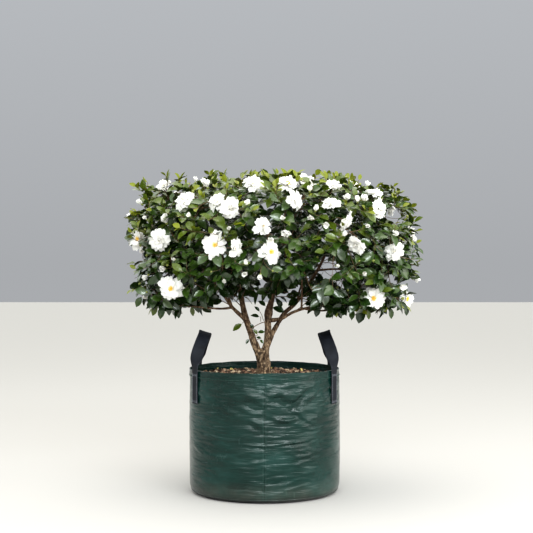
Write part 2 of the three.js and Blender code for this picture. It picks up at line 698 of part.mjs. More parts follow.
function forkShootSolid() {
  const twig = limbLine(FORK_SHOOT);
  let stem = twigSolid(twig);
  for (const limb of limbs) stem = stem.subtract(limb.grown);
  const shoot = { count: FORK_SHOOT.leaves, size: FORK_SHOOT.leafSize, random: seeded(FORK_SHOOT.seed) };
  return wasm.Manifold.union([stem, ...leavesOn(twig, { ...shoot, isClear: () => true })]);
}

// Assembly

const limbs = buildLimbs();
const masses = MASSES.map((mass) => ({
  ...mass,
  heart: point(...mass.heart),
  limb: limbs.find((limb) => limb.name === mass.limb),
}));
const blooms = scatterBlooms(FRONT_BLOOMS.map(({ x, z, across, turn, lift }) => ({
  at: frontPlace(x, z),
  across,
  way: facing(turn, lift),
})));
blooms.forEach((bloom) => (bloom.mass = nearestMass(bloom.at)));
masses.forEach((mass) => (mass.blooms = blooms.filter((bloom) => bloom.mass === mass)));
const shootEnds = blooms.map((bloom) => bloom.at);

const shrub = new THREE.Group();
shrub.add(meshOf(bagSolid(), "bag", COLOURS.bag));
shrub.add(meshOf(soilSolid(), "potting_mix", COLOURS.soil));
shrub.add(meshOf(handleSolid(-1), "handle_left", COLOURS.webbing));
shrub.add(meshOf(handleSolid(1), "handle_right", COLOURS.webbing));
limbs.forEach((limb) => shrub.add(meshOf(limb.solid, limb.name, COLOURS.bark)));
shrub.add(meshOf(forkShootSolid(), "foliage_in_fork", COLOURS.foliage));
masses.forEach((mass, i) => shrub.add(meshOf(massSolid(mass, i + 1), mass.name, COLOURS.foliage)));

export default shrub;
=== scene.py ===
"""Dresses a white camellia shrub and the woven planter bag that it grows in.

The crown grows on from its limbs by a seeded rule. The plant, the bag and the handles are sized in
millimetres, as they are in the hand, and MM turns them to metres where a mesh is made.
"""
import logging
from collections.abc import Callable
from dataclasses import dataclass, field
from enum import Enum
from math import atan2, copysign, cos, exp, hypot, pi, radians, sin, sqrt

import bmesh
import bpy
import numpy as np
from bmesh import ops
from mathutils import Matrix, Vector, noise
from numpy.linalg import norm


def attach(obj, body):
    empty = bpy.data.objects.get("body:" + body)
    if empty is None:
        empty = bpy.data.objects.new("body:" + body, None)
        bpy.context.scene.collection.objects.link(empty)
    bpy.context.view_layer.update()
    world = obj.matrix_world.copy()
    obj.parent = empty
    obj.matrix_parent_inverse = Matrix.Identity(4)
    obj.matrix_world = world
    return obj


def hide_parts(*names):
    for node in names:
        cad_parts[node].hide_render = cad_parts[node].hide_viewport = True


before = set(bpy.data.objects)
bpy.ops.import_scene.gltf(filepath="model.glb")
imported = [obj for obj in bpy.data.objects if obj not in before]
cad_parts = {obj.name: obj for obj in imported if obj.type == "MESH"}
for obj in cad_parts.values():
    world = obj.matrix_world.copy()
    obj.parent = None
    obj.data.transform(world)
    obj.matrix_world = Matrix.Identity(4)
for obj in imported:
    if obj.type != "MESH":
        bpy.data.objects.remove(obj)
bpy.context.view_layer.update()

LOG = logging.getLogger("camellia")
MM = 0.001
ROOT = "root"
UP = np.array([0.0, 0.0, 1.0])
SOFT_CREASE = 60  # degrees

Array = np.ndarray
Triple = tuple[float, float, float]
Node = tuple[Array, Array, float]
BMesh = bmesh.types.BMesh
Material = bpy.types.Material
Piece = bpy.types.Object
Socket = bpy.types.NodeSocket


# Numbers and directions


class Seeded:
    """A repeatable stream of numbers from 0 to 1."""

    STEP = 0x6D2B79F5
    MASK = 0xFFFFFFFF

    def __init__(self, seed: int) -> None:
        """Starts the stream that a seed picks."""
        self.state = seed & self.MASK

    def draw(self, count: int) -> Array:
        """Takes the next numbers.

        Args:
            count: How many.

        Returns:
            The numbers, in order.
        """
        states = (self.state + self.STEP * np.arange(1, count + 1, dtype=np.uint64)) & self.MASK
        self.state = int(states[-1])
        mix = ((states ^ (states >> 15)) * (states | 1)) & self.MASK
        mix ^= (mix + (((mix ^ (mix >> 7)) * (mix | 61)) & self.MASK)) & self.MASK
        return (mix ^ (mix >> 14)) / (self.MASK + 1)

    def unit(self) -> float:
        """Returns the next number."""
        return float(self.draw(1)[0])

    def between(self, low: float, high: float) -> float:
        """Returns a number from low to high."""
        return low + (high - low) * self.unit()

    def pick(self, count: int) -> int:
        """Returns a whole number from 0 to count - 1."""
        return min(int(self.unit() * count), count - 1)


def unit(v: Array) -> Array:
    """Returns vectors at length 1."""
    length = norm(v, axis=-1, keepdims=True)
    return v / np.maximum(length, 1e-9)


def smooth(value: float, low: float, high: float) -> float:
    """Returns a smooth step from 0 at low to 1 at high."""
    t = min(max((value - low) / (high - low), 0.0), 1.0)
    return t * t * (3 - 2 * t)


def turned(v: Array, axis: Array, angle: float) -> Array:
    """Returns a vector turned by an angle in radians about an axis of length 1."""
    return v * cos(angle) + np.cross(axis, v) * sin(angle) + axis * np.dot(axis, v) * (1 - cos(angle))


def frame_of(way: Array, up: Array) -> Array:
    """Returns a turn whose columns are a way of length 1, the side to its left and the way over it."""
    side = unit(np.cross(up, way))
    return np.column_stack([way, side, np.cross(way, side)])


# Curves


def centripetal(bends: Array, t: Array) -> Array:
    """Finds points on the smooth curve through some bends.

    Args:
        bends: The bends, one per row.
        t: Shares of the way along, from 0 to 1.

    Returns:
        One point per share.
    """
    last = len(bends) - 1
    ends = np.vstack([2 * bends[0] - bends[1], bends, 2 * bends[-1] - bends[-2]])
    i = np.minimum((t * last).astype(int), last - 1)
    w = (t * last - i)[:, None]
    p0, p1, p2, p3 = ends[i], ends[i + 1], ends[i + 2], ends[i + 3]
    pairs = ((p0, p1), (p1, p2), (p2, p3))
    d0, d1, d2 = (np.sqrt(norm(b - a, axis=1))[:, None] for a, b in pairs)
    m1 = d1 * ((p1 - p0) / d0 - (p2 - p0) / (d0 + d1) + (p2 - p1) / d1)
    m2 = d1 * ((p2 - p1) / d1 - (p3 - p1) / (d1 + d2) + (p3 - p2) / d2)
    return p1 + m1 * w + (3 * (p2 - p1) - 2 * m1 - m2) * w**2 + (2 * (p1 - p2) + m1 + m2) * w**3


def spaced(bends: Array, steps: int) -> Array:
    """Steps along the smooth curve through some bends.

    Args:
        bends: The bends, one per row.
        steps: How many equal steps are taken.

    Returns:
        The steps' ends.
    """
    t = np.linspace(0, 1, 201)
    dense = centripetal(bends, t)
    run = np.concatenate([[0], np.cumsum(norm(np.diff(dense, axis=0), axis=1))])
    return centripetal(bends, np.interp(np.linspace(0, run[-1], steps + 1), run, t))


def curve_length(bends: Array) -> float:
    """Returns the length of the smooth curve through the bends."""
    dense = centripetal(bends, np.linspace(0, 1, 201))
    return float(norm(np.diff(dense, axis=0), axis=1).sum())


# Meshes


@dataclass(frozen=True)
class Stamp:
    """A small shape that is repeated many times: its corners, and its faces as lists of corners."""

    corners: Array
    faces: list[list[int]]


def stamp_of(bm: BMesh) -> Stamp:
    """Takes a stamp from a bmesh, and frees it.

    Args:
        bm: The bmesh.

    Returns:
        The stamp.
    """
    ops.remove_doubles(bm, verts=bm.verts, dist=1e-5)
    ops.recalc_face_normals(bm, faces=bm.faces)
    bm.verts.index_update()
    faces = [[v.index for v in face.verts] for face in bm.faces]
    stamp = Stamp(np.array([v.co[:] for v in bm.verts]), faces)
    bm.free()
    return stamp


def spun(outline: list[tuple[float, float]], steps: int, start: tuple[float, float] = (1, 0)) -> BMesh:
    """Spins an outline about the upright axis.

    Args:
        outline: The outline's radii and heights.
        steps: Faces round it.
        start: The x and y of the way that the spin starts from.

    Returns:
        The spun shape.
    """
    bm = bmesh.new()
    corners = [bm.verts.new((r * start[0], r * start[1], z)) for r, z in outline]
    edges = [bm.edges.new(pair) for pair in zip(corners, corners[1:])]
    ops.spin(bm, geom=corners + edges, cent=(0, 0, 0), axis=(0, 0, 1), angle=2 * pi, steps=steps,
             use_merge=True)
    return bm


def backed(bm: BMesh, thickness: float) -> Stamp:
    """Closes a thin sheet with a second one under it, joined along their edge.

    Args:
        bm: The sheet.
        thickness: How far the second lies under it.

    Returns:
        The closed sheet.
    """
    under = ops.duplicate(bm, geom=bm.verts[:] + bm.edges[:] + bm.faces[:])["geom"]
    for vertex in (v for v in under if isinstance(v, bmesh.types.BMVert)):
        if not any(e.is_boundary for e in vertex.link_edges):
            vertex.co.z -= thickness
    ops.reverse_faces(bm, faces=[f for f in under if isinstance(f, bmesh.types.BMFace)])
    return stamp_of(bm)


def piece_of(mesh: bpy.types.Mesh, name: str, material: Material, crease: float = 40) -> Piece:
    """Makes a finished piece of a mesh, smooth but for its sharp edges, on the root body.

    Args:
        mesh: The mesh, in metres and in place.
        name: The piece's name.
        material: Its finish.
        crease: The angle in degrees from which an edge stays sharp.

    Returns:
        The piece.
    """
    mesh.name = name
    mesh.materials.clear()
    mesh.materials.append(material)
    mesh.shade_smooth()
    mesh.set_sharp_from_angle(angle=radians(crease))
    piece = bpy.data.objects.new(name, mesh)
    bpy.context.scene.collection.objects.link(piece)
    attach(piece, ROOT)
    LOG.info("%s: %d faces", name, len(mesh.polygons))
    return piece


def plain_mesh(bm: BMesh) -> bpy.types.Mesh:
    """Makes a mesh of a bmesh as it is, and frees it.

    Args:
        bm: The bmesh.

    Returns:
        The mesh.
    """
    mesh = bpy.data.meshes.new("piece")
    bm.to_mesh(mesh)
    bm.free()
    return mesh


def mesh_of(bm: BMesh) -> bpy.types.Mesh:
    """Makes a mesh in metres of a bmesh in millimetres, with its faces turned outwards.

    Args:
        bm: The bmesh, which is freed.

    Returns:
        The mesh.
    """
    ops.remove_doubles(bm, verts=bm.verts, dist=1e-4)
    ops.recalc_face_normals(bm, faces=bm.faces)
    ops.scale(bm, vec=(MM, MM, MM), verts=bm.verts)
    return plain_mesh(bm)


@dataclass
class Joined:
    """Copies of stamps, gathered to be joined in one mesh."""

    corners: list[Array] = field(default_factory=list)
    loops: list[Array] = field(default_factory=list)
    sizes: list[Array] = field(default_factory=list)
    count: int = 0

    def add(self, stamp: Stamp, turns: Array, places: Array) -> None:
        """Adds copies of a stamp.

        Args:
            stamp: The shape.
            turns: A 3 by 3 matrix per copy.
            places: A point per copy.
        """
        if len(places) == 0:
            return
        shaped = np.einsum("nij,vj->nvi", turns, stamp.corners) + places[:, None, :]
        flat = np.concatenate([np.array(face) for face in stamp.faces])
        offsets = self.count + len(stamp.corners) * np.arange(len(places))
        self.corners.append(shaped.reshape(-1, 3))
        self.loops.append((flat[None, :] + offsets[:, None]).ravel())
        self.sizes.append(np.tile([len(face) for face in stamp.faces], len(places)))
        self.count += len(stamp.corners) * len(places)

    def piece(self, name: str, material: Material, crease: float = 40) -> Piece:
        """Joins the copies, which are in millimetres, in one piece.

        Args:
            name: The piece's name.
            material: Its finish.
            crease: The angle in degrees from which an edge stays sharp.

        Returns:
            The piece.
        """
        corners, loops, sizes = (np.concatenate(part) for part in (self.corners, self.loops, self.sizes))
        mesh = bpy.data.meshes.new(name)
        mesh.vertices.add(len(corners))
        mesh.vertices.foreach_set("co", (corners * MM).ravel().astype(np.float32))
        mesh.loops.add(len(loops))
        mesh.loops.foreach_set("vertex_index", loops.astype(np.int32))
        mesh.polygons.add(len(sizes))
        starts = np.concatenate([[0], np.cumsum(sizes)[:-1]])
        mesh.polygons.foreach_set("loop_start", starts.astype(np.int32))
        mesh.update(calc_edges=True)
        return piece_of(mesh, name, material, crease)


def tube(bm: BMesh, line: Array, radii: Array, sides: int) -> None:
    """Rolls a grid into a closed tube along a line.

    Args:
        bm: The bmesh that the tube is added to.
        line: Points along the tube's middle.
        radii: A radius at each point.
        sides: How many faces go round it.
    """
    last = len(line) - 1
    ways = unit(np.vstack([line[1] - line[0], line[2:] - line[:-2], line[-1] - line[-2]]))
    across = np.array([0.0, 1.0, 0.02])
    frames = []
    for way in ways:
        across = unit(across - way * np.dot(across, way))
        frames.append((across, np.cross(way, across)))
    grid = ops.create_grid(bm, x_segments=sides, y_segments=last, size=0.5)
    for vertex in grid["verts"]:
        row = round((vertex.co.y + 0.5) * last)
        angle = (vertex.co.x + 0.5) * 2 * pi
        outward, side = frames[row]
        vertex.co = line[row] + (outward * cos(angle) + side * sin(angle)) * radii[row]
    ops.remove_doubles(bm, verts=grid["verts"], dist=1e-4)
    ops.holes_fill(bm, edges=[edge for edge in bm.edges if edge.is_boundary], sides=sides)


# Finishes


def set_stops(ramp: bpy.types.ColorRamp, stops: tuple[tuple[float, Triple], ...]) -> None:
    """Sets the stops of a colour ramp.

    Args:
        ramp: The ramp.
        stops: Places in rising order, and colours.
    """
    while len(ramp.elements) < len(stops):
        ramp.elements.new(0.5)
    for element, (place, colour) in zip(ramp.elements, stops):
        element.position, element.color = place, (*colour, 1)


class Graph:
    """A material's nodes, added and linked by short calls."""

    def __init__(self, name: str) -> None:
        """Makes a named material with nothing but its shader.

        Args:
            name: The material's name.
        """
        self.material = bpy.data.materials.new(name)
        self.material.use_nodes = True
        self.nodes = self.material.node_tree.nodes
        self.links = self.material.node_tree.links
        self.shader = self.nodes["Principled BSDF"]
        self.object = self.add("ShaderNodeTexCoord").outputs["Object"]

    def add(self, kind: str, **settings: object) -> bpy.types.Node:
        """Adds a node.

        Args:
            kind: The node's type.
            **settings: Its properties, and its inputs by name where it has such an input.

        Returns:
            The node.
        """
        node = self.nodes.new(kind)
        for key, value in settings.items():
            label = key.replace("_", " ").title()
            if label in node.inputs:
                self.feed(node.inputs[label], value)
            else:
                setattr(node, key, value)
        return node

    def feed(self, socket: Socket, value: object) -> None:
        """Links a socket, or sets its value.

        Args:
            socket: The socket.
            value: Another socket, or a value.
        """
        if isinstance(value, Socket):
            self.links.new(value, socket)
        else:
            socket.default_value = value

    def maths(self, operation: str, *terms: object) -> Socket:
        """Works out one sum.

        Args:
            operation: The Math node's operation.
            *terms: Sockets or numbers.

        Returns:
            The result.
        """
        node = self.add("ShaderNodeMath", operation=operation)
        for socket, term in zip(node.inputs, terms):
            self.feed(socket, term)
        return node.outputs[0]

    def times(self, first: object, second: object) -> Socket:
        """Returns the product of two sockets or numbers."""
        return self.maths("MULTIPLY", first, second)

    def noise(self, scale: float, stretch: Triple = (1, 1, 1), detail: float = 3, rough: float = 0.5,
              where: Socket | None = None) -> Socket:
        """Lays noise over the piece.

        Args:
            scale: How fine the noise is.
            stretch: What its place is multiplied by first.
            detail: How many layers it has.
            rough: How strong its finer layers are.
            where: Where it is read, or None for the object's own place.

        Returns:
            A value from 0 to 1.
        """
        mapping = self.add("ShaderNodeMapping", vector=where or self.object, scale=stretch)
        found = self.add("ShaderNodeTexNoise", vector=mapping.outputs[0], scale=scale, detail=detail,
                         roughness=rough)
        return found.outputs["Fac"]

    def ramp(self, value: Socket, *stops: tuple[float, Triple]) -> Socket:
        """Turns a value to a colour.

        Args:
            value: The value.
            *stops: Places and colours.

        Returns:
            The colour.
        """
        node = self.add("ShaderNodeValToRGB")
        self.feed(node.inputs[0], value)
        set_stops(node.color_ramp, stops)
        return node.outputs[0]

    def fade(self, value: Socket, low: float, high: float, first: float = 0, last: float = 1) -> Socket:
        """Returns a grey that goes from first at low to last at high."""
        return self.ramp(value, (low, (first,) * 3), (high, (last,) * 3))

    def lay(self, share: Socket, weight: float, under: Socket, over: Triple) -> Socket:
        """Lays a colour over another.

        Args:
            share: Where it lies.
            weight: How much of it shows there.
            under: The colour under it.
            over: The colour that is laid over.

        Returns:
            The colour.
        """
        covered = self.times(share, weight)
        node = self.add("ShaderNodeMix", data_type="RGBA")
        for socket, value in zip((node.inputs[0], *node.inputs[6:8]), (covered, under, (*over, 1))):
            self.feed(socket, value)
        return node.outputs[2]

    def bump(self, height: Socket, depth: float, strength: float, under: Socket | None = None) -> Socket:
        """Raises the surface by a height.

        Args:
            height: The height, from 0 to 1.
            depth: How far 1 stands up, in metres.
            strength: The share that shows.
            under: A bump that this one lies on.

        Returns:
            The normal.
        """
        node = self.add("ShaderNodeBump", strength=strength, distance=depth, height=height)
        if under:
            self.links.new(under, node.inputs["Normal"])
        return node.outputs[0]

    def finish(self, colour: object, roughness: object, normal: Socket | None = None,
               **sockets: float) -> Material:
        """Sets the shader.

        Args:
            colour: The base colour, as a socket or a colour.
            roughness: The roughness, as a socket or a number.
            normal: The bumped normal, if there is one.
            **sockets: Further numbers, by the name of their socket.

        Returns:
            The material.
        """
        self.feed(self.shader.inputs["Base Color"],
                  colour if isinstance(colour, Socket) else (*colour, 1))
        self.feed(self.shader.inputs["Roughness"], roughness)
        if normal:
            self.links.new(normal, self.shader.inputs["Normal"])
        for key, value in sockets.items():
            self.shader.inputs[key.replace("_", " ").title().replace("Ior", "IOR")].default_value = value
        return self.material


@dataclass(frozen=True)
class PlainGrowth:
    """A finish of one base colour, as leaves, petals and buds have, with a faint relief.

    Attributes:
        name: The material's name.
        colour: The base colour.
        roughness: The middle roughness.
        swing: How much the roughness varies.
        relief: How far the faint relief stands up, in metres.
        coat: The weight of the wax coat.
        shine: The level of the surface's own reflection.
        glow: The share of the light that goes through it.
    """

    name: str
    colour: Triple
    roughness: float = 0.4
    swing: float = 0.1
    relief: float = 0.0004
    coat: float = 0.0
    shine: float = 0.4
    glow: float = 0.0

    def material(self) -> Material:
        """Makes the finish.

        Returns:
            The material.
        """
        graph = Graph(self.name)
        patches = graph.noise(160, detail=2)
        roughness = graph.maths("MULTIPLY_ADD", patches, 2 * self.swing, self.roughness - self.swing)
        normal = graph.bump(graph.noise(420, detail=2), self.relief, 0.6)
        graph.shader.inputs["Subsurface Radius"].default_value = (1, 1, 1)
        return graph.finish(self.colour, roughness, normal, coat_weight=self.coat, coat_roughness=0.22,
                            specular_ior_level=self.shine, subsurface_weight=self.glow,
                            subsurface_scale=0.006)


@dataclass(frozen=True)
class Bark:
    """Grey-brown bark with fine upright cracks, paler flakes, grey-green lichen and painted shade in its
    knots.
    """

    name: str = "camellia_bark"
    dark: Triple = (0.018, 0.0105, 0.0062)
    middle: Triple = (0.086, 0.054, 0.032)
    pale: Triple = (0.4, 0.29, 0.185)
    lichen: Triple = (0.17, 0.128, 0.084)
    red: Triple = (0.09, 0.042, 0.024)
    painted_knot_shade: Triple = (0.028, 0.018, 0.013)  # painted shade in the hollows of the knots
    knots: tuple[tuple[float, float, float, float], ...] = (  # x, y, z and size
        (-1.6, -22, 418, 7), (-46, -10, 500, 8), (-16, -16, 456, 9), (9, -10, 575, 10), (-3, -12, 470, 6),
        (-66, -12, 566, 8),
    )

    def material(self) -> Material:
        """Makes the finish.

        Returns:
            The material.
        """
        graph = Graph(self.name)
        cracks = graph.noise(170, (1, 1, 0.42), detail=5, rough=0.66)
        flakes = graph.noise(60, (1, 1, 0.5), detail=4, rough=0.6)
        colour = graph.ramp(cracks, (0.34, self.dark), (0.49, self.middle), (0.64, self.pale))
        colour = graph.lay(graph.fade(flakes, 0.52, 0.68), 0.4, colour, self.lichen)
        spots = graph.fade(graph.noise(75, (1, 1, 0.8), detail=4, rough=0.7), 0.56, 0.66)
        colour = graph.lay(spots, 0.6, colour, self.dark)
        height = graph.add("ShaderNodeSeparateXYZ", vector=graph.object).outputs[2]
        colour = graph.lay(graph.fade(height, 0.5, 0.68), 0.6, colour, self.red)
        # Each knot's hollow is darkened with painted shade.
        for x, y, z, size in self.knots:
            away = graph.add("ShaderNodeVectorMath", operation="DISTANCE")
            graph.links.new(graph.object, away.inputs[0])
            away.inputs[1].default_value = (x * MM, y * MM, z * MM)
            far = graph.times(away.outputs["Value"], 1 / (size * MM))
            ragged = graph.times(graph.maths("ADD", far, flakes), 0.5)
            colour = graph.lay(graph.fade(ragged, 0.55, 0.72, 1, 0), 0.75, colour, self.painted_knot_shade)
        normal = graph.bump(cracks, 0.0012, 0.8, graph.bump(flakes, 0.0016, 0.5))
        return graph.finish(colour, 0.86, normal, specular_ior_level=0.25)


@dataclass(frozen=True)
class WovenFilm:
    """Dark green woven plastic with a glossy film, scuffs, dust near the ground and a painted shadow along
    its foot.
    """

    name: str = "green_woven_film"
    deep: Triple = (0.0015, 0.0135, 0.0105)
    middle: Triple = (0.003, 0.024, 0.019)
    pale: Triple = (0.012, 0.046, 0.04)
    dust: Triple = (0.16, 0.15, 0.125)
    foot: Triple = (0.002, 0.004, 0.004)  # painted shadow along the edge by the ground
    tape: float = 0.0026  # width of one woven tape

    def material(self) -> Material:
        """Makes the finish.

        Returns:
            The material.
        """
        graph = Graph(self.name)
        split = graph.add("ShaderNodeSeparateXYZ", vector=graph.object)
        x, y, z = split.outputs
        around = graph.times(graph.maths("ARCTAN2", x, graph.times(y, -1.0)), 0.25)
        flat = graph.add("ShaderNodeCombineXYZ", x=around, y=z)
        warp, weft = (graph.maths("SINE", graph.times(place, pi / self.tape)) for place in (around, z))
        weave = graph.times(warp, weft)
        lines = graph.noise(1, (18, 260, 1), detail=4, rough=0.6, where=flat.outputs[0])
        clouds = graph.noise(7, (1, 1, 1.6), detail=4, rough=0.6)
        colour = graph.ramp(clouds, (0.3, self.deep), (0.52, self.middle), (0.75, self.pale))
        scuffs = graph.fade(graph.noise(24, (1, 1, 0.7), detail=6, rough=0.7), 0.6, 0.8)
        dusty = graph.times(graph.fade(z, 0.0, 0.07, 1, 0), graph.noise(30, detail=4))
        colour = graph.lay(scuffs, 0.35, colour, self.pale)
        colour = graph.lay(dusty, 0.5, colour, self.dust)
        # Painted shadow: the lower edge is darkened, most of all by the ground.
        colour = graph.lay(graph.fade(z, 0.004, 0.022, 1, 0), 0.85, colour, self.foot)
        streaks = graph.noise(1, (11, 95, 1), detail=3, rough=0.55, where=flat.outputs[0])
        streaks = graph.times(streaks, graph.fade(z, 0.1, 0.26, 0.45))
        normal = graph.bump(lines, 0.0018, 0.6, graph.bump(streaks, 0.0038, 0.75))
        normal = graph.bump(weave, 0.00012, 0.5, normal)
        roughness = graph.maths("MULTIPLY_ADD", scuffs, 0.3, 0.2)
        return graph.finish(colour, roughness, normal, specular_ior_level=0.36)


@dataclass(frozen=True)
class Webbing:
    """Black ribbed web, read along the piece's own UV map, with a painted highlight along its edges."""

    name: str = "black_webbing"
    dark: Triple = (0.0036, 0.0043, 0.0065)
    pale: Triple = (0.022, 0.026, 0.039)
    # painted highlight along the strap's edges
    edge: Triple = (0.07, 0.075, 0.09)
    ribs: float = 190.0  # pairs of ribs along the strap
    cords: float = 30.0  # cords across it

    def material(self) -> Material:
        """Makes the finish.

        Returns:
            The material.
        """
        graph = Graph(self.name)
        uv = graph.add("ShaderNodeUVMap", uv_map="strap").outputs[0]
        split = graph.add("ShaderNodeSeparateXYZ", vector=uv)
        across = graph.maths("SINE", graph.times(split.outputs[0], self.cords * 2 * pi))
        along = graph.maths("SINE", graph.times(split.outputs[1], self.ribs * 2 * pi))
        weave = graph.maths("MULTIPLY_ADD", graph.times(across, along), 0.5, 0.5)
        worn = graph.times(weave, graph.noise(45, detail=4))
        colour = graph.ramp(worn, (0.1, self.dark), (0.75, self.pale))
        # The strap's edges are lightened as a painted highlight.
        round_it = graph.maths("COSINE", graph.times(split.outputs[0], 2 * pi))
        painted_edge_highlight = graph.fade(graph.maths("ABSOLUTE", round_it), 0.9, 0.985)
        colour = graph.lay(painted_edge_highlight, 0.6, colour, self.edge)
        normal = graph.bump(weave, 0.0005, 0.7, graph.bump(graph.noise(900, detail=2), 0.0003, 0.5))
        return graph.finish(colour, 0.7, normal, specular_ior_level=0.26)


@dataclass(frozen=True)
class Fleck:
    """A dull finish with small blotches in two colours, as on bark chips, soil and thread."""

    name: str
    dark: Triple
    pale: Triple
    grain: float = 140
    depth: float = 0.0012
    roughness: float = 0.9

    def material(self) -> Material:
        """Makes the finish.

        Returns:
            The material.
        """
        graph = Graph(self.name)
        spots = graph.noise(self.grain, detail=5, rough=0.65)
        colour = graph.ramp(spots, (0.35, self.dark), (0.65, self.pale))
        normal = graph.bump(spots, self.depth, 0.7)
        return graph.finish(colour, self.roughness, normal, specular_ior_level=0.15)


class Tone(Enum):
    """The greens of the leaves, from the oldest to the youngest: partly their age, partly painted shade."""

    # The deepest green: partly old leaves, partly painted shade for leaves inside and low in the crown.
    SHADE = PlainGrowth("leaf_deep_green", (0.0135, 0.033, 0.0055), 0.23, 0.07, coat=0.55)
    FULL = PlainGrowth("leaf_green", (0.029, 0.058, 0.008), 0.23, 0.07, coat=0.5)
    FRESH = PlainGrowth("leaf_fresh_green", (0.062, 0.09, 0.008), 0.28, 0.07, coat=0.15)
    YOUNG = PlainGrowth("leaf_young_green", (0.145, 0.168, 0.012), 0.36, 0.07, shine=0.3)


PETAL = PlainGrowth("white_petal", (0.96, 0.945, 0.9), 0.5, 0.06, 0.0006, glow=0.6)
INNER_PETAL = PlainGrowth("cream_petal", (0.95, 0.9, 0.76), 0.5, 0.06, 0.0006, glow=0.6)
POLLEN = PlainGrowth("golden_stamens", (0.95, 0.66, 0.09), 0.7, 0.05, 0.0003)
SEPAL = PlainGrowth("green_sepals", (0.19, 0.21, 0.05), 0.5, 0.08)
TWIG_BARK = Fleck("twig_bark", (0.07, 0.04, 0.024), (0.2, 0.13, 0.08), 220, 0.0004, 0.8)
CHIP_FINISHES = (
    Fleck("bark_chip_brown", (0.016, 0.011, 0.008), (0.09, 0.06, 0.043), 240),
    Fleck("bark_chip_rust", (0.13, 0.07, 0.045), (0.34, 0.2, 0.13), 240),
    Fleck("bark_chip_tan", (0.36, 0.26, 0.165), (0.7, 0.56, 0.4), 240),
)
FALLEN_LEAF = Fleck("fallen_leaves", (0.46, 0.36, 0.09), (0.7, 0.58, 0.24), 120)
MIX_BED = Fleck("potting_mix", (0.011, 0.006, 0.004), (0.05, 0.027, 0.015), 260, 0.003, 0.95)
THREAD = Fleck("grey_thread", (0.1, 0.105, 0.12), (0.26, 0.27, 0.3), 300, 0.0003, 0.7)
GREEN_THREAD = Fleck("green_thread", (0.02, 0.05, 0.04), (0.05, 0.1, 0.085), 300, 0.0003, 0.6)


# Plant: sizes and places


@dataclass(frozen=True)
class Limb:
    """A trunk, bough or branch: a smooth curve from where it springs, through its bends, to its tip.

    Attributes:
        name: The node that it dresses.
        radii: Its radius from one end to the other.
        bends: Its points.
    """

    name: str
    radii: tuple[float, ...]
    bends: tuple[Triple, ...]

    def line(self, step: float) -> tuple[Array, Array]:
        """Cuts the limb into steps.

        Args:
            step: Their length.

        Returns:
            The points, and a radius at each.
        """
        bends = np.array(self.bends, float)
        steps = max(3, int(curve_length(bends) / step + 0.5))
        shares = np.linspace(0, 1, steps + 1)
        return spaced(bends, steps), np.interp(shares, np.linspace(0, 1, len(self.radii)), self.radii)


SOIL_LEVEL = 384.0
LIMB_STEP = 36.0
LIMBS = (
    Limb("trunk", (22.5, 20.5, 20, 22.5), ((-2, 0, SOIL_LEVEL + 0.3), (-3, 0, 426), (-8, 0, 466))),
    Limb("bough_left", (12, 9.5, 8.5, 6.5, 4.2),
         ((-12, 0, 438), (-39, -6, 505), (-67, -3, 590), (-84, 38, 670), (-122, 122, 790))),
    Limb("bough_centre", (13, 10, 10.5, 6.5, 5, 3.6),
         ((-6, 0, 438), (9, 2, 500), (13, 3, 590), (31, 0, 664), (33, -14, 708), (66, -98, 850))),
    Limb("bough_right", (8, 6.6, 5.2, 3.6),
         ((4, 1, 466), (31, 12, 531), (68, 26, 590), (107, 34, 626), (179, 45, 735), (232, 40, 846))),
    Limb("bough_outer_left", (6.5, 4.6, 3.2),
         ((-60, -8, 566), (-107, -38, 612), (-146, -64, 671), (-200, -84, 736), (-252, -88, 775))),
    Limb("bough_right_low", (6.5, 3.2), ((12, 0, 565), (55, -32, 574), (96, -50, 596), (168, -76, 619))),
    Limb("branch_low_left", (3.6, 2.6), ((-106, -37, 610), (-146, -54, 607), (-256, -80, 618))),
    Limb("branch_low_right", (3.4, 2.5), ((134, -62, 607), (198, -32, 600), (276, -14, 616))),
    Limb("branch_far_right", (3.6, 2.6), ((179, 45, 733), (237, 22, 737), (328, -8, 730))),
    Limb("branch_top_left", (3.4, 2.6), ((-146, -64, 671), (-200, -36, 780), (-270, -26, 872))),
    Limb("branch_upper_front_left", (4.4, 2.8), ((31, -1, 668), (10, -28, 738), (-72, -108, 865))),
    Limb("branch_upper_back_right", (4.4, 2.8), ((24, 2, 640), (56, 76, 735), (92, 140, 850))),
    Limb("branch_front_left", (3.4, 2.5), ((-107, -38, 612), (-126, -82, 670), (-146, -128, 724))),
    Limb("branch_front_right", (3.4, 2.5), ((121, -58, 604), (122, -90, 662), (120, -134, 722))),
    Limb("branch_back_left", (3.6, 2.6), ((-74, 10, 625), (-112, 74, 662), (-158, 130, 696))),
    Limb("branch_back_right", (3.6, 2.6), ((107, 34, 626), (124, 86, 678), (150, 140, 722))),
)
FORK_SHOOT = Limb("foliage_in_fork", (2.2, 1.5),
                  ((13, 3, 562), (-6, -16, 566), (-34, -30, 550), (-58, -36, 528)))

# Leaves low in the fork: x and z of the foot and of the tip, and tone.
FORK_LEAVES = (
    (-74, 557, -106, 533, Tone.FRESH), (-16, 579, -47, 583, Tone.SHADE), (-16, 596, -32, 614, Tone.SHADE),
    (4, 614, -17, 634, Tone.SHADE), (-36, 537, -46, 556, Tone.SHADE), (-24, 520, -34, 538, Tone.FRESH),
    (-24, 527, 1, 530, Tone.FULL), (-28, 511, -11, 508, Tone.SHADE), (-16, 503, -3, 491, Tone.FULL),
    (-52, 506, -62, 488, Tone.SHADE), (24, 610, 66, 594, Tone.SHADE),
)

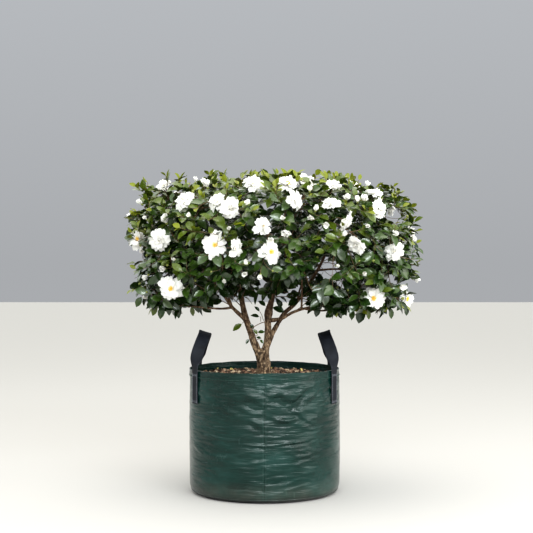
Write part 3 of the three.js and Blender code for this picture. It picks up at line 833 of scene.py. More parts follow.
# Leaves that hang clear of the crown's underside: the foot, the run to the tip along x and z, and tone.
HANGING_LEAVES = (
    ((176, -70, 616), (-8, -36), Tone.SHADE), ((213, -60, 616), (3, -38), Tone.FULL),
    ((245, -60, 614), (4, -34), Tone.SHADE), ((318, -90, 612), (-12, -52), Tone.SHADE),
    ((334, -90, 606), (9, -32), Tone.FRESH), ((412, -60, 612), (6, -38), Tone.FULL),
    ((466, -50, 618), (2, -34), Tone.SHADE), ((-350, -90, 622), (-17, -36), Tone.FRESH),
    ((-332, -90, 620), (-8, -46), Tone.FULL), ((-312, -90, 622), (2, -36), Tone.SHADE),
    ((-289, -90, 624), (13, -46), Tone.SHADE), ((-402, -70, 648), (-20, -34), Tone.FULL),
    ((284, -100, 604), (-2, -30), Tone.FULL), ((-240, -80, 616), (8, -32), Tone.FRESH),
)

# Short leafy shoots low in the crown: where each springs from a limb, its tip and its leaves.
INNER_SHOOTS = (
    ((31, 0, 660), (-42, -30, 668), 7), ((-75, 16, 630), (-58, -34, 694), 8),
    ((-70, 0, 600), (-112, -40, 652), 8), ((24, 2, 640), (86, -30, 650), 8),
    ((100, 32, 620), (118, -12, 660), 7), ((31, 0, 664), (58, -34, 722), 9),
    ((33, -10, 700), (8, -66, 664), 7), ((130, 38, 665), (168, 0, 676), 7),
    ((150, 42, 700), (118, -20, 712), 8),
    ((96, -50, 596), (142, -74, 636), 7), ((-107, -38, 612), (-150, -70, 642), 7),
    ((-146, -64, 671), (-112, -100, 690), 7), ((33, -14, 708), (88, -70, 690), 8),
    ((-84, 38, 670), (-20, 20, 730), 8), ((-84, 38, 670), (-40, 70, 700), 7),
    ((40, 30, 680), (20, 70, 700), 7), ((179, 45, 733), (150, 90, 720), 7),
)

# Where limbs part, and how far the bark is smoothed round each.
FORKS = (
    ((-6, 0, 466), 40), ((14, 4, 484), 24), ((-62, -6, 572), 20), ((14, 0, 565), 20), ((30, 0, 664), 16),
    ((-106, -38, 611), 14), ((180, 45, 734), 12), ((107, 34, 626), 12), ((-75, 10, 625), 14),
)


@dataclass(frozen=True)
class Mass:
    """A mass of foliage: it grows from its limb's tip round its own heart.

    Attributes:
        name: The node that it dresses.
        limb: The limb whose tip it grows from.
        heart: The middle of its space.
        leading: Ends of the shoots that reach past the crown's outline.
    """

    name: str
    limb: str
    heart: Triple
    leading: tuple[Triple, ...] = ()


MASSES = (
    Mass("foliage_top_left", "branch_top_left", (-315, -30, 930),
         ((-402, -45, 1004), (-330, -40, 1000), (-416, -60, 896))),
    Mass("foliage_top_front_left", "branch_upper_front_left", (-125, -165, 925), ((-120, -120, 1000),)),
    Mass("foliage_top_back_left", "bough_left", (-140, 185, 915), ((-150, 336, 905),)),
    Mass("foliage_top_front_right", "bough_centre", (110, -170, 930), ((30, -90, 1000),)),
    Mass("foliage_top_back_right", "branch_upper_back_right", (125, 190, 925), ((140, 338, 905),)),
    Mass("foliage_top_right", "bough_right", (325, 10, 925), ((416, 0, 1000), (292, -30, 1000))),
    Mass("foliage_left", "bough_outer_left", (-355, -80, 775), ((-400, -80, 828),)),
    Mass("foliage_low_left", "branch_low_left", (-310, -60, 645), ((-396, -70, 672), (-362, -70, 612))),
    Mass("foliage_front_left", "branch_front_left", (-160, -190, 765)),
    Mass("foliage_front_right", "branch_front_right", (120, -200, 770)),
    Mass("foliage_back_left", "branch_back_left", (-210, 180, 735)),
    Mass("foliage_back_right", "branch_back_right", (200, 190, 760)),
    Mass("foliage_right", "branch_far_right", (415, -10, 765), ((470, -30, 848), (458, -20, 764))),
    Mass("foliage_low_front_right", "bough_right_low", (228, -110, 640), ((300, -110, 604),)),
    Mass("foliage_low_right", "branch_low_right", (370, 0, 640), ((440, -40, 634),)),
)
HEARTS = np.array([mass.heart for mass in MASSES], float)


class Form(Enum):
    """How far a bloom is open."""

    GOLDEN = "open, with its stamens showing"
    FULL = "open, with small petals over most of its stamens"
    HALF = "half open"


@dataclass
class Bloom:
    """A bloom on the end of a twig.

    Attributes:
        at: Its middle.
        across: Its width.
        way: The way that it faces.
        form: How far it is open.
    """

    at: Array
    across: float
    way: Array
    form: Form


GOLDEN, FULL = Form.GOLDEN, Form.FULL

# Open blooms at the front: x and z where the line from the viewpoint meets the trunk's plane,
# width across, and the way each faces, as a turn to the right and a lift, in degrees.
FRONT_BLOOMS = (
    (-339, 1014, 64, -50, 35, FULL), (-268, 972, 68, -25, 40, FULL),
    (-161, 960, 62, -25, 20, FULL), (-112, 938, 70, 25, -12, FULL),
    (-40, 1024, 64, 15, 50, FULL), (78, 1026, 66, 12, 45, GOLDEN),
    (104, 968, 58, 40, 5, FULL), (230, 1020, 54, 5, 60, FULL),
    (218, 958, 60, -20, 45, FULL), (276, 896, 60, 62, -35, FULL),
    (366, 992, 50, 20, 58, FULL), (384, 942, 60, 45, 10, FULL),
    (-4, 880, 58, 10, 5, FULL), (-166, 818, 80, 0, 5, GOLDEN),
    (-96, 806, 64, 62, -5, FULL), (24, 796, 68, 30, 0, GOLDEN),
    (-426, 838, 74, -48, 10, GOLDEN), (-350, 832, 66, -12, -12, FULL),
    (-314, 672, 76, -12, 0, GOLDEN), (304, 816, 60, -48, -25, FULL),
    (431, 796, 62, -28, 12, FULL), (364, 640, 68, 0, 0, GOLDEN),
    (476, 638, 58, 52, -8, GOLDEN),
)
# Half-open blooms and buds at the front: x, z, width, turn and lift.
FRONT_BUDS = (
    (-192, 1015, 46, -20, 50), (-393, 715, 34, -60, -20), (-136, 699, 28, 10, -10), (-67, 758, 26, 30, 20),
    (-67, 722, 30, 20, -10), (-330, 896, 50, -20, 40), (430, 850, 36, 30, 40), (452, 676, 38, 40, 10),
    (-14, 716, 30, 0, -30), (20, 832, 30, -10, 10), (155, 905, 38, -10, 10), (170, 935, 32, 10, 40),
    (-250, 915, 26, -20, 30), (-230, 1030, 26, 0, 70), (260, 850, 28, 40, 20), (310, 965, 30, 0, 50),
    (340, 880, 26, 10, 10), (240, 748, 24, 30, 0), (-300, 770, 24, -40, 10), (330, 720, 26, 20, 10),
    (-395, 905, 26, -50, 40), (60, 905, 26, 0, 20), (-60, 955, 28, 10, 30), (150, 1000, 28, 0, 60),
    (75, 857, 42, -10, -10), (273, 971, 38, 10, 30), (327, 971, 42, 30, 20), (-335, 738, 34, -20, 0),
    (-392, 647, 30, -30, -10), (200, 885, 34, 20, 0), (-120, 870, 26, 0, 20),
)

# Clear sprigs at the crown's edge: x and z of the tip at the trunk's plane, and its depth.
SPRIGS = (
    (-428, 1012, -50), (-392, 1028, -40), (-436, 920, -60), (-430, 738, -70), (-438, 668, -70),
    (-360, 622, -90), (-290, 612, -100), (-330, 1048, -60), (-284, 1040, -80), (-187, 1052, -60),
    (-142, 1046, -80), (0, 1056, -60), (86, 1056, -60), (211, 1046, -60), (285, 1040, -50),
    (430, 1012, -20), (438, 966, -30), (494, 904, -30), (502, 862, -40),
    (506, 824, -40), (504, 756, -40), (484, 712, -60), (462, 616, -60), (313, 604, -130),
    (230, 610, -130), (262, 606, -150), (400, 616, -80), (-400, 860, -120), (395, 880, -110),
)


@dataclass(frozen=True)
class Crown:
    """The crown's outline: a broad, flat-topped cushion, arched underneath, with daylight gaps.

    Attributes:
        heart: Its middle.
        half: Half its size along each axis.
        plan_power: How square it is in plan.
        height_power: How flat its top is.
        bottom: The lowest height of its underside.
        arch_rise: How high the underside arches over the trunk.
        arch_centre: The arch's middle.
        arch_half_width: Half its width.
        edge_lift: How far the underside rises to the front and the back.
        low: The least x, y and z that a leaf may reach.
        high: The greatest.
        viewpoint: Where the photograph was taken from.
        gaps: Daylight gaps, by x, z and radius.
        notches: Finer gaps, which only the fine growth keeps out of.
    """

    heart: Triple = (31, 0, 806)
    half: Triple = (488, 392, 252)
    plan_power: float = 2.3
    height_power: float = 3.4
    bottom: float = 560
    arch_rise: float = 88
    arch_centre: float = -20
    arch_half_width: float = 215
    edge_lift: float = 70
    low: Triple = (-494, -412, 520)
    high: Triple = (545, 412, 1068)
    viewpoint: Triple = (6, -4000, 752)
    gaps: tuple[Triple, ...] = (
        (207, 736, 33), (-8, 686, 20), (62, 682, 15), (128, 662, 20),
        (98, 628, 18), (-62, 652, 13), (58, 626, 24), (160, 700, 15),
    )
    notches: tuple[Triple, ...] = (
        (428, 920, 22), (-428, 958, 20), (-434, 788, 26), (-448, 704, 14), (-246, 584, 26),
        (-236, 1052, 20), (-97, 1062, 24), (350, 1048, 26), (150, 1062, 18), (496, 690, 14),
        (-330, 716, 12), (-228, 680, 12), (248, 690, 14), (420, 706, 14), (330, 680, 10),
        (-420, 632, 12), (190, 592, 14), (284, 576, 12), (360, 582, 12), (-150, 606, 14),
        (-322, 588, 10), (430, 600, 12),
    )

    def level(self, p: Array) -> Array:
        """Works out how far out places are.

        Args:
            p: The places.

        Returns:
            0 at the crown's heart, and 1 on its outline.
        """
        share = np.abs(p - np.array(self.heart)) / np.array(self.half)
        plan = (share[..., 0:2] ** self.plan_power).sum(-1) ** (1 / self.plan_power)
        return (plan**self.height_power + share[..., 2] ** self.height_power) ** (1 / self.height_power)

    def underside(self, p: Array) -> Array:
        """Returns the height of the foliage's underside over places in plan."""
        arch = np.maximum(0, 1 - ((p[..., 0] - self.arch_centre) / self.arch_half_width) ** 2)
        return self.bottom + self.arch_rise * arch + self.edge_lift * (p[..., 1] / self.half[1]) ** 2

    def sight_line(self, x: float, y: Array, z: float) -> Array:
        """Finds what a point of the trunk's plane covers, seen from the viewpoint.

        Args:
            x: The point's x.
            y: Depths.
            z: The point's height.

        Returns:
            A place at each depth.
        """
        seen_x, seen_y, seen_z = self.viewpoint
        stretch = (y - seen_y) / -seen_y
        return np.stack([seen_x + (x - seen_x) * stretch, y, seen_z + (z - seen_z) * stretch], axis=-1)

    def in_gap(self, p: Array, fine: bool = True) -> Array:
        """Returns whether places lie in a daylight gap, or for fine growth in a notch."""
        holes = self.gaps + self.notches if fine else self.gaps
        return np.any([norm(p - self.sight_line(x, p[..., 1], z), axis=-1) < r for x, z, r in holes], axis=0)

    def front_place(self, x: float, z: float) -> Array:
        """Finds the crown's front on a line from the viewpoint.

        Args:
            x: The x at which the line meets the trunk's plane.
            z: The height at which it does.

        Returns:
            The place.
        """
        line = self.sight_line(x, np.arange(-self.half[1], 0, 4.0), z)
        inside = np.nonzero(self.level(line) < 0.93)[0]
        return line[inside[0]] if len(inside) else self.sight_line(x, np.array(-20.0), z)


# Growth

PAST_LEVELS = (0.94, 0.99)
FINE_LEVELS = ((0.35, 0.75), (0.65, 0.92), (0.92, 0.98), (0.7, 0.95))


@dataclass
class Twig:
    """A twig: a bent line from a node of the growth to a tip, cut into nodes for later twigs.

    Attributes:
        at: Its nodes.
        way: The way that it runs at each node.
        radius: Its radius at each node.
        control: The four points that bend it.
        load: How many leaves, buds and blooms it carries.
    """

    at: Array
    way: Array
    radius: Array
    control: Array
    load: int = 0

    def point(self, t: Array) -> Array:
        """Finds points along the twig.

        Args:
            t: Shares of the way along.

        Returns:
            A point at each share.
        """
        a, b, c, d = self.control
        t = np.asarray(t)[..., None]
        return (1 - t) ** 3 * a + 3 * (1 - t) ** 2 * t * b + 3 * (1 - t) * t**2 * c + t**3 * d


@dataclass
class Spray:
    """Leaves placed on the twigs: one row each of feet, turns, lengths and tones."""

    feet: list[Array] = field(default_factory=list)
    turns: list[Array] = field(default_factory=list)
    lengths: list[float] = field(default_factory=list)
    tones: list[Tone] = field(default_factory=list)

    def add(self, *row: object) -> None:
        """Adds a leaf by its foot, turn, length and tone."""
        for rows, value in zip((self.feet, self.turns, self.lengths, self.tones), row):
            rows.append(value)


@dataclass
class Growth:
    """The rule by which the crown grows on from its limbs.

    Attributes:
        crown: The outline that it fills.
        stem_radius: The first twig's radius, from a limb's tip.
        main: A main twig's radius at its foot and at its tip.
        slim: A finer twig's.
        taper: A twig's radius for its parent's.
        node_step: The distance between a twig's nodes.
        clear: How far twigs stay from limbs and from the next mass.
        bloom_depth: A bloom's depth for its radius.
        bloom_sunk: How far a twig runs into its bloom.
        coarse: Main shoots of a mass, as its solid has.
        fine: Finer shoots that fill it.
        low_fine: Finer shoots of a low mass.
        tries: Places tried for each main shoot.
        fine_tries: Places tried for each finer shoot.
        reach: How far a mass's shoots end from its heart.
        hidden: How many blooms open away from the front.
        skipped: Numbers that the solid's leaves on a shoot take from a mass's stream.
        grounded: The height under which a shoot droops.
        fork_top: The height under which the fork stays open.
    """

    crown: Crown = field(default_factory=Crown)
    stem_radius: float = 3.6
    main: tuple[float, float] = (2.4, 1.5)
    slim: tuple[float, float] = (1.5, 0.8)
    taper: float = 0.85
    node_step: float = 78
    clear: float = 3
    bloom_depth: float = 0.42
    bloom_sunk: float = 4
    coarse: int = 5
    fine: int = 66
    low_fine: int = 50
    tries: int = 1200
    fine_tries: int = 420
    reach: float = 270
    hidden: int = 17
    skipped: int = 11
    grounded: float = 700
    fork_top: float = 608

    def __post_init__(self) -> None:
        """Grows the crown."""
        lines = [limb.line(LIMB_STEP) for limb in LIMBS]
        self.starts = np.vstack([points[:-1] for points, _ in lines])
        self.runs = np.vstack([np.diff(points, axis=0) for points, _ in lines])
        self.thick = np.concatenate([np.maximum(radii[1:], radii[:-1]) for _, radii in lines])
        self.tips = {limb.name: (points, radii) for limb, (points, radii) in zip(LIMBS, lines)}
        self.leaves = Spray()
        self.twigs: list[Twig] = []
        self.buds: list[Node] = []
        self.blooms = [Bloom(self.crown.front_place(x, z), across, self.facing(turn, lift), form)
                       for x, z, across, turn, lift, form in FRONT_BLOOMS]
        self.blooms += self.hidden_blooms()
        self.owner = [self.nearest_mass(bloom.at) for bloom in self.blooms]
        self.ends = [bloom.at for bloom in self.blooms]
        states = [self.grow_skeleton(i) for i in range(len(MASSES))]
        for i, nodes in enumerate(states):
            self.grow_on(i, nodes)
        self.grow_fork_shoot()
        self.grow_inner_shoots()
        self.hang_leaves()
        self.prune()

    def prune(self) -> None:
        """Takes off the twigs that carry nothing."""
        for _ in range(3):
            roots = np.array([twig.control[0] for twig in self.twigs])
            bare = [twig.load == 0 and norm(roots[:, None] - twig.at[1:], axis=-1).min() > 4
                    for twig in self.twigs]
            self.twigs = [twig for twig, gone in zip(self.twigs, bare) if not gone]

    def nearest_mass(self, p: Array) -> int:
        """Returns the index of the mass whose heart is nearest."""
        return int(np.argmin(norm(HEARTS - p, axis=1)))

    def owns(self, mass: int, p: Array, margin: float) -> Array:
        """Tells whether places are nearer to a mass's heart than to any other.

        Args:
            mass: The mass's index.
            p: The places.
            margin: By how much they have to be nearer.

        Returns:
            Whether each is.
        """
        squares = ((p[..., None, :] - HEARTS) ** 2).sum(-1)
        between = 2 * norm(HEARTS - HEARTS[mass], axis=1)
        spare = squares - squares[..., mass : mass + 1] - margin * between
        spare[..., mass] = 1
        return (spare > 0).all(-1)

    def clear_of_limbs(self, p: Array, margin: float) -> Array:
        """Tells whether places are clear of every limb.

        Args:
            p: The places.
            margin: How far they have to be from the bark.

        Returns:
            Whether each is.
        """
        gap = p[..., None, :] - self.starts
        share = np.clip((gap * self.runs).sum(-1) / (self.runs**2).sum(-1), 0, 1)
        away = norm(gap - share[..., None] * self.runs, axis=-1)
        return (away > self.thick + margin).all(-1)

    def near_foreign_bloom(self, mass: int, p: Array) -> Array:
        """Tells whether places touch a bloom of another mass.

        Args:
            mass: The mass's index.
            p: The places.

        Returns:
            Whether each does.
        """
        hit = np.zeros(p.shape[:-1], bool)
        for bloom, owner in zip(self.blooms, self.owner):
            if owner != mass and bloom.form is not Form.HALF:
                hit |= norm(p - bloom.at, axis=-1) < bloom.across / 2 + 4
        return hit

    @staticmethod
    def facing(turn: float, lift: float) -> Array:
        """Returns the way that a turn to the right and a lift give, both in degrees."""
        turn, lift = radians(turn), radians(lift)
        return np.array([cos(lift) * sin(turn), -cos(lift) * cos(turn), sin(lift)])

    def hidden_blooms(self) -> list[Bloom]:
        """Deals blooms over the rest of the outline, by the rule that the solids follow.

        Returns:
            The further blooms.
        """
        random = Seeded(77)
        found: list[Bloom] = []
        heart, half = np.array(self.crown.heart), self.crown.half
        while len(found) < self.hidden:
            around = random.unit() * 2 * pi
            height = self.crown.bottom + 60 + random.unit() * 2 * half[2]
            across = 52 + 22 * random.unit()
            share = sqrt(random.unit())
            x, y = cos(around) * half[0] * share, sin(around) * half[1] * share
            at = np.array([heart[0] + x, y, height])
            level = self.crown.level(at)
            hidden = at[1] > -60 or at[2] > 1000
            if level < 0.86 or level > 0.94 or not hidden or at[2] < self.crown.underside(at) + 60:
                continue
            if any(norm(other.at - at) < 140 for other in self.blooms + found):
                continue
            way = unit((at - heart) * np.array([1, 1.2, 1.1]))
            found.append(Bloom(at, across, way, GOLDEN if len(found) % 3 == 0 else FULL))
        return found

    def shoot_end(self, start: Array, tip: Array) -> Array:
        """Returns the way a shoot points at its tip: out of the crown, and a little up."""
        outward = unit(tip - np.array(self.crown.heart))
        return unit(unit(tip - start) + 0.5 * outward + 0.4 * UP)

    def grow_twig(self, start: Node, tip: Array, end_way: Array | None, thickest: float,
                  thinnest: float) -> Twig:
        """Grows a twig from a node.

        Args:
            start: The node's place, way and radius.
            tip: Where the twig ends.
            end_way: The way that it points there, or None for a shoot's own.
            thickest: The most that its foot's radius may be.
            thinnest: Its tip's radius.

        Returns:
            The twig.
        """
        at, from_way, from_radius = start
        reach = float(norm(tip - at))
        radius = min(thickest, from_radius * self.taper)
        start_way = unit(0.8 * unit(tip - at) + 0.5 * from_way)
        root = at - 0.5 * radius * start_way
        end_way = self.shoot_end(at, tip) if end_way is None else end_way
        control = np.array([root, root + 0.35 * reach * start_way, tip - 0.35 * reach * end_way, tip])
        t = np.linspace(0, 1, max(2, int(reach / self.node_step + 0.5)) + 1)
        a, b, c = np.diff(control, axis=0)
        s = t[:, None]
        way = unit((1 - s) ** 2 * a + 2 * (1 - s) * s * b + s**2 * c)
        twig = Twig(np.empty((0, 3)), way, radius + (min(radius, thinnest) - radius) * t, control)
        twig.at = twig.point(t)
        return twig

    def grow_to(self, nodes: list[Node], tip: Array, end_way: Array | None,
                radii: tuple[float, float]) -> Twig:
        """Grows a twig from the nearest node, with those that point away counted as further.

        Args:
            nodes: The mass's nodes so far.
            tip: Where the twig ends.
            end_way: The way that it points there, or None for a shoot's own.
            radii: Its radius at its foot and at its tip.

        Returns:
            The twig.
        """
        gaps = tip - np.array([node[0] for node in nodes])
        away = norm(gaps, axis=1)
        along = (gaps * np.array([node[1] for node in nodes])).sum(1) / np.maximum(away, 1e-6)
        cost = np.where(away > 18, away * (1.6 - 0.6 * along), np.inf)
        return self.grow_twig(nodes[int(np.argmin(cost))], tip, end_way, *radii)

    def sprout(self, mass: int, nodes: list[Node], twig: Twig, leaves: int, end: Array | None = None,
               **dressing: object) -> None:
        """Adds a twig and its leaves to a mass.

        Args:
            mass: The mass's index.
            nodes: Its nodes so far, which the twig's own join.
            twig: The twig.
            leaves: How many leaves it has.
            end: The place that later shoots keep away from, if they do.
            **dressing: More on its leaves.
        """
        nodes += self.nodes_of(twig, -1)
        self.twigs.append(twig)
        self.dress(mass, twig, leaves, **dressing)
        if end is not None:
            self.ends.append(end)

    def twig_is_clear(self, mass: int, twig: Twig) -> bool:
        """Tells whether a twig keeps to its mass's space, off limbs and off other masses' blooms.

        Args:
            mass: The mass's index.
            twig: The twig.

        Returns:
            Whether it does.
        """
        p = np.vstack([(twig.at[1:] + twig.at[:-1]) / 2, twig.at[1:]])
        fine = self.owns(mass, p, self.clear) & self.clear_of_limbs(p, self.clear)
        return bool((fine & ~self.near_foreign_bloom(mass, p)).all())

    def next_shoot(self, mass: int, nodes: list[Node], random: Seeded, tries: int,
                   levels: tuple[float, float], radii: tuple[float, float]) -> Twig | None:
        """Grows a mass's next shoot: of several that would grow clear, the one furthest from all other ends.

        Args:
            mass: The mass's index.
            nodes: Its nodes so far.
            random: Its stream.
            tries: How many places are tried.
            levels: The crown levels that the shoot may end between.
            radii: The shoot's radius at its foot and at its tip.

        Returns:
            The shoot, or None where there is no room.
        """
        tips = HEARTS[mass] + (random.draw(3 * tries).reshape(-1, 3) * 2 - 1) * self.reach
        level = self.crown.level(tips)
        high = tips[:, 2] >= self.crown.underside(tips) + 24
        tips = tips[(level >= levels[0]) & (level <= levels[1]) & high]
        tips = tips[self.owns(mass, tips, 10) & ~self.crown.in_gap(tips, radii == self.slim)]
        if len(tips) == 0:
            return None
        room = norm(tips[:, None, :] - np.array(self.ends), axis=-1).min(1)
        for i in np.argsort(-room, kind="stable")[:40]:
            twig = self.grow_to(nodes, tips[i], None, radii)
            if self.twig_is_clear(mass, twig):
                return twig
        return None

    @staticmethod
    def nodes_of(twig: Twig, last: int | None = None) -> list[Node]:
        """Returns a twig's nodes after its foot, up to the last that is wanted."""
        return [(twig.at[i], twig.way[i], float(twig.radius[i])) for i in range(1, len(twig.at))][:last]

    def grow_skeleton(self, mass: int) -> list[Node]:
        """Grows a mass's stem, its blooms' twigs and its main shoots, as its solid has them.

        Args:
            mass: The mass's index.

        Returns:
            The mass's nodes.
        """
        random = Seeded(mass + 1)
        points, radii = self.tips[MASSES[mass].limb]
        way = unit(points[-1] - points[-2])
        heart = HEARTS[mass]
        start = (points[-1], way, radii[-1] / self.taper)
        stem = self.grow_twig(start, heart, unit(heart - points[-1]), self.stem_radius, self.main[1])
        nodes = self.nodes_of(stem)
        self.twigs.append(stem)
        for bloom, owner in zip(self.blooms, self.owner):
            if owner != mass:
                continue
            base = bloom.at + bloom.way * (self.bloom_sunk - self.bloom_depth * bloom.across / 2)
            twig = self.grow_to(nodes, base, bloom.way, self.main)
            twig.load += 1
            self.sprout(mass, nodes, twig, 8, from_tip=9)
            random.draw(2)
        for place in MASSES[mass].leading:
            tip = np.array(place, float)
            self.sprout(mass, nodes, self.grow_to(nodes, tip, None, self.main), 15, tip, leading=tip)
            random.draw(self.skipped)
        for _ in range(self.coarse):
            twig = self.next_shoot(mass, nodes, random, self.tries, (0.55, 0.86), self.main)
            if twig is None:
                continue
            self.sprout(mass, nodes, twig, 14, twig.at[-1])
            random.draw(self.skipped)
        return nodes

    def grow_on(self, mass: int, nodes: list[Node]) -> None:
        """Fills a mass with finer shoots, half-open blooms and buds.

        Args:
            mass: The mass's index.
            nodes: Its nodes so far.
        """
        random = Seeded(1000 + mass)
        for x, z, across, turn, lift in FRONT_BUDS:
            at = self.crown.front_place(x, z)
            if self.nearest_mass(at) != mass:
                continue
            way = self.facing(turn, lift)
            self.half_open(mass, at, across, way)
            twig = self.grow_to(nodes, at - way * across * 0.5, way, self.slim)
            twig.load += 1
            self.sprout(mass, nodes, twig, 8, at, from_tip=8)
        for x, z, y in SPRIGS:
            tip = self.crown.sight_line(x, np.array(float(y)), z)
            if self.nearest_mass(tip) != mass:
                continue
            outward = unit(tip - np.array(self.crown.heart)) * (1, 0.4, 1)
            way = unit(outward + (0, -0.2, 0.5 if z > self.grounded else -0.4))
            self.sprout(mass, nodes, self.grow_to(nodes, tip, way, self.slim), 8, tip, leading=tip)
        for k in range(self.fine if HEARTS[mass][2] > self.grounded else self.low_fine):
            past = k % 5 == 0 and HEARTS[mass][2] > 850
            levels = PAST_LEVELS if past else FINE_LEVELS[k % 4]
            twig = self.next_shoot(mass, nodes, random, self.fine_tries, levels, self.slim)
            if twig is None:
                continue
            end = twig.at[-1]
            self.sprout(mass, nodes, twig, 12 + random.pick(6), end, leading=end if past else None)
            if twig.load == 0:
                continue
            if random.unit() < 0.2:
                self.buds.append((end, twig.way[-1], random.between(8, 13)))
            elif random.unit() < 0.12 and end[1] > -60:
                way = unit(twig.way[-1] + 0.3 * (HEARTS[mass] - np.array(self.crown.heart)) / 300)
                self.half_open(mass, end + way * 14, random.between(26, 40), way)

    def half_open(self, mass: int, at: Array, across: float, way: Array) -> None:
        """Adds a half-open bloom to a mass, by its middle, its width and the way that it faces."""
        self.blooms.append(Bloom(at, across, way, Form.HALF))
        self.owner.append(mass)

    def grow_fork_shoot(self) -> None:
        """Grows the small shoot that droops low in the fork."""
        points, radii = FORK_SHOOT.line(12)
        way = unit(np.gradient(points, axis=0))
        control = np.array([points[0], points[len(points) // 3], points[2 * len(points) // 3], points[-1]])
        twig = Twig(points, way, radii * 0.7, control, 1)
        self.twigs.append(twig)
        for foot_x, foot_z, tip_x, tip_z, tone in FORK_LEAVES:
            run = np.array([tip_x - foot_x, -5.0, tip_z - foot_z])
            self.place_leaf(np.array([foot_x, -16.0, foot_z]), run, tone, points)

    def place_leaf(self, foot: Array, run: Array, tone: Tone, anchors: Array) -> None:
        """Sets one leaf, its face to the front, on a stalk from the nearest limb or anchor.

        Args:
            foot: The leaf's foot.
            run: The way from there to its tip.
            tone: Its tone.
            anchors: Points on twigs that the stalk may spring from.
        """
        turn = frame_of(unit(run), np.array([0.12, -0.8, 0.6]))
        self.leaves.add(foot, turn, float(norm(run)), tone)
        anchor = anchors[int(np.argmin(norm(anchors - foot, axis=1)))]
        near, _, away = self.on_limb(foot)
        near = anchor if norm(anchor - foot) < away else near
        stalk = self.grow_twig((near, unit(foot - near), 1.2), foot, unit(run), 1.2, 0.9)
        stalk.load = 1
        self.twigs.append(stalk)

    def hang_leaves(self) -> None:
        """Hangs single leaves under the crown, each from the nearest twig that carries leaves."""
        anchors = np.vstack([twig.at for twig in self.twigs if twig.load])
        for foot, (run_x, run_z), tone in HANGING_LEAVES:
            self.place_leaf(np.array(foot, float), np.array([run_x, -4.0, run_z]), tone, anchors)

    def on_limb(self, p: Array) -> tuple[Array, Array, float]:
        """Finds the nearest point in a limb.

        Args:
            p: The place that it is near to.

        Returns:
            The point, the limb's run there and how far it is.
        """
        gap = p - self.starts
        share = np.clip((gap * self.runs).sum(1) / (self.runs**2).sum(1), 0, 1)
        found = self.starts + share[:, None] * self.runs
        away = norm(found - p, axis=1)
        near = int(np.argmin(away))
        return found[near], self.runs[near], float(away[near])

    def grow_inner_shoots(self) -> None:
        """Grows the leafy shoots that spring from the boughs low in the crown."""
        for place, end, leaves in INNER_SHOOTS:
            near, run, _ = self.on_limb(np.array(place, float))
            tip = np.array(end, float)
            way = unit(unit(tip - near) + 0.3 * UP)
            start = (near, unit(run), self.main[0])
            twig = self.grow_twig(start, tip, way, self.main[0], self.slim[1])
            self.twigs.append(twig)
            self.dress(-1, twig, leaves, droop=0.15)

    def dress(self, mass: int, twig: Twig, count: int, leading: Array | None = None,
              from_tip: float = 2, droop: float = 0.0) -> None:
        """Sets leaves along the outer part of a twig, turning round it, with their faces to the sky.

        Args:
            mass: The mass's index, or -1 outside the masses.
            twig: The twig.
            count: How many leaves it has, before those that would not grow clear are left out.
            leading: The tip of a leading shoot, whose leaves may reach past the outline.
            from_tip: The distance from the twig's tip to its last leaf.
            droop: How much the leaves hang.
        """
        random = Seeded(5000 + 7 * len(self.twigs))
        heart = np.array(self.crown.heart)
        length = float(norm(np.diff(twig.point(np.linspace(0, 1, 9)), axis=0), axis=1).sum())
        roll = radians(random.between(-40, 40))
        rank = 1 if random.unit() < 0.5 else -1
        height = (twig.at[-1][2] - 640) / 400
        outer = float(self.crown.level(twig.at[-1]))
        # Leaves further out and higher up count as younger and better lit: partly growth, partly painted
        # light and shade.
        vigour_and_light = outer * 0.6 + height * 0.45 + random.between(-0.16, 0.16)
        back = from_tip
        for k in range(count):
            if back > 0.93 * length:
                break
            here, ahead = twig.point(np.array([1 - back / length, min(1.02 - back / length, 1.0)]))
            stalk = unit(ahead - here)
            over = 0.9 * UP + 0.45 * unit(here - heart)
            over = turned(unit(over - stalk * np.dot(over, stalk)), stalk, roll + random.between(-0.35, 0.35))
            side = np.cross(over, stalk) * rank
            rank = -rank
            splay = radians(random.between(10, 30) if k == 0 else random.between(38, 68))
            way = stalk * cos(splay) + side * sin(splay)
            sag = 0.75 - (here[2] - 600) / 500 + random.between(-0.3, 0.3)
            sag = sag * (0.3 if k < 3 else 1.0) - (0.25 if k < 3 else 0.0) + droop
            way = unit(way * np.array([1, 1, 0.65]) - UP * sag)
            low = smooth(here[2], 780, 680)
            outward = unit((here - heart) * np.array([1.0 - 0.5 * low, 1.0 + 0.5 * low, 0.0]))
            up = (0.45 + 0.4 * height) * UP + (1.0 - 0.5 * height) * outward + 0.2 * stalk + 0.2 * over
            up = up + (0.9 + 0.1 * low) * (random.draw(3) - 0.5)
            up = up - way * np.dot(up, way)
            size = random.between(42, 55) - 3 * smooth(here[2], 800, 1000)
            size *= 0.66 + 0.14 * low if k == 0 else 0.82 + 0.13 * low if k < 3 else 1.0
            back += random.between(7, 11) if k < 3 else random.between(10, 16)
            # The deeper greens go inside, low down and back along the twig: partly their age, partly painted
            # shade.
            shade = vigour_and_light - 0.035 * k + random.between(-0.12, 0.12)
            tone = Tone.SHADE if shade < 0.5 else Tone.FULL if shade < 0.76 else Tone.FRESH
            if k < 3 and shade > 0.92 or leading is not None and k < 2:
                tone, size = Tone.YOUNG, size * 0.85
            # Shoots inside the crown take the deeper greens, partly as painted shade.
            if mass < 0:
                tone = Tone.FULL if random.unit() < 0.5 else Tone.SHADE
            aside = np.cross(up, way)
            p = np.array([here + way * size, here + way * size * 0.7,
                          here + (way * 0.45 - aside * 0.24) * size,
                          here + (way * 0.45 + aside * 0.24) * size])
            bare = mass >= 0 and leading is None and here[2] - float(self.crown.underside(here)) < 48
            if not self.leaf_is_clear(mass, p, leading, here) or bare and random.unit() < 0.7:
                continue
            self.leaves.add(here - way * 0.3, frame_of(way, up), size, tone)
            twig.load += 1

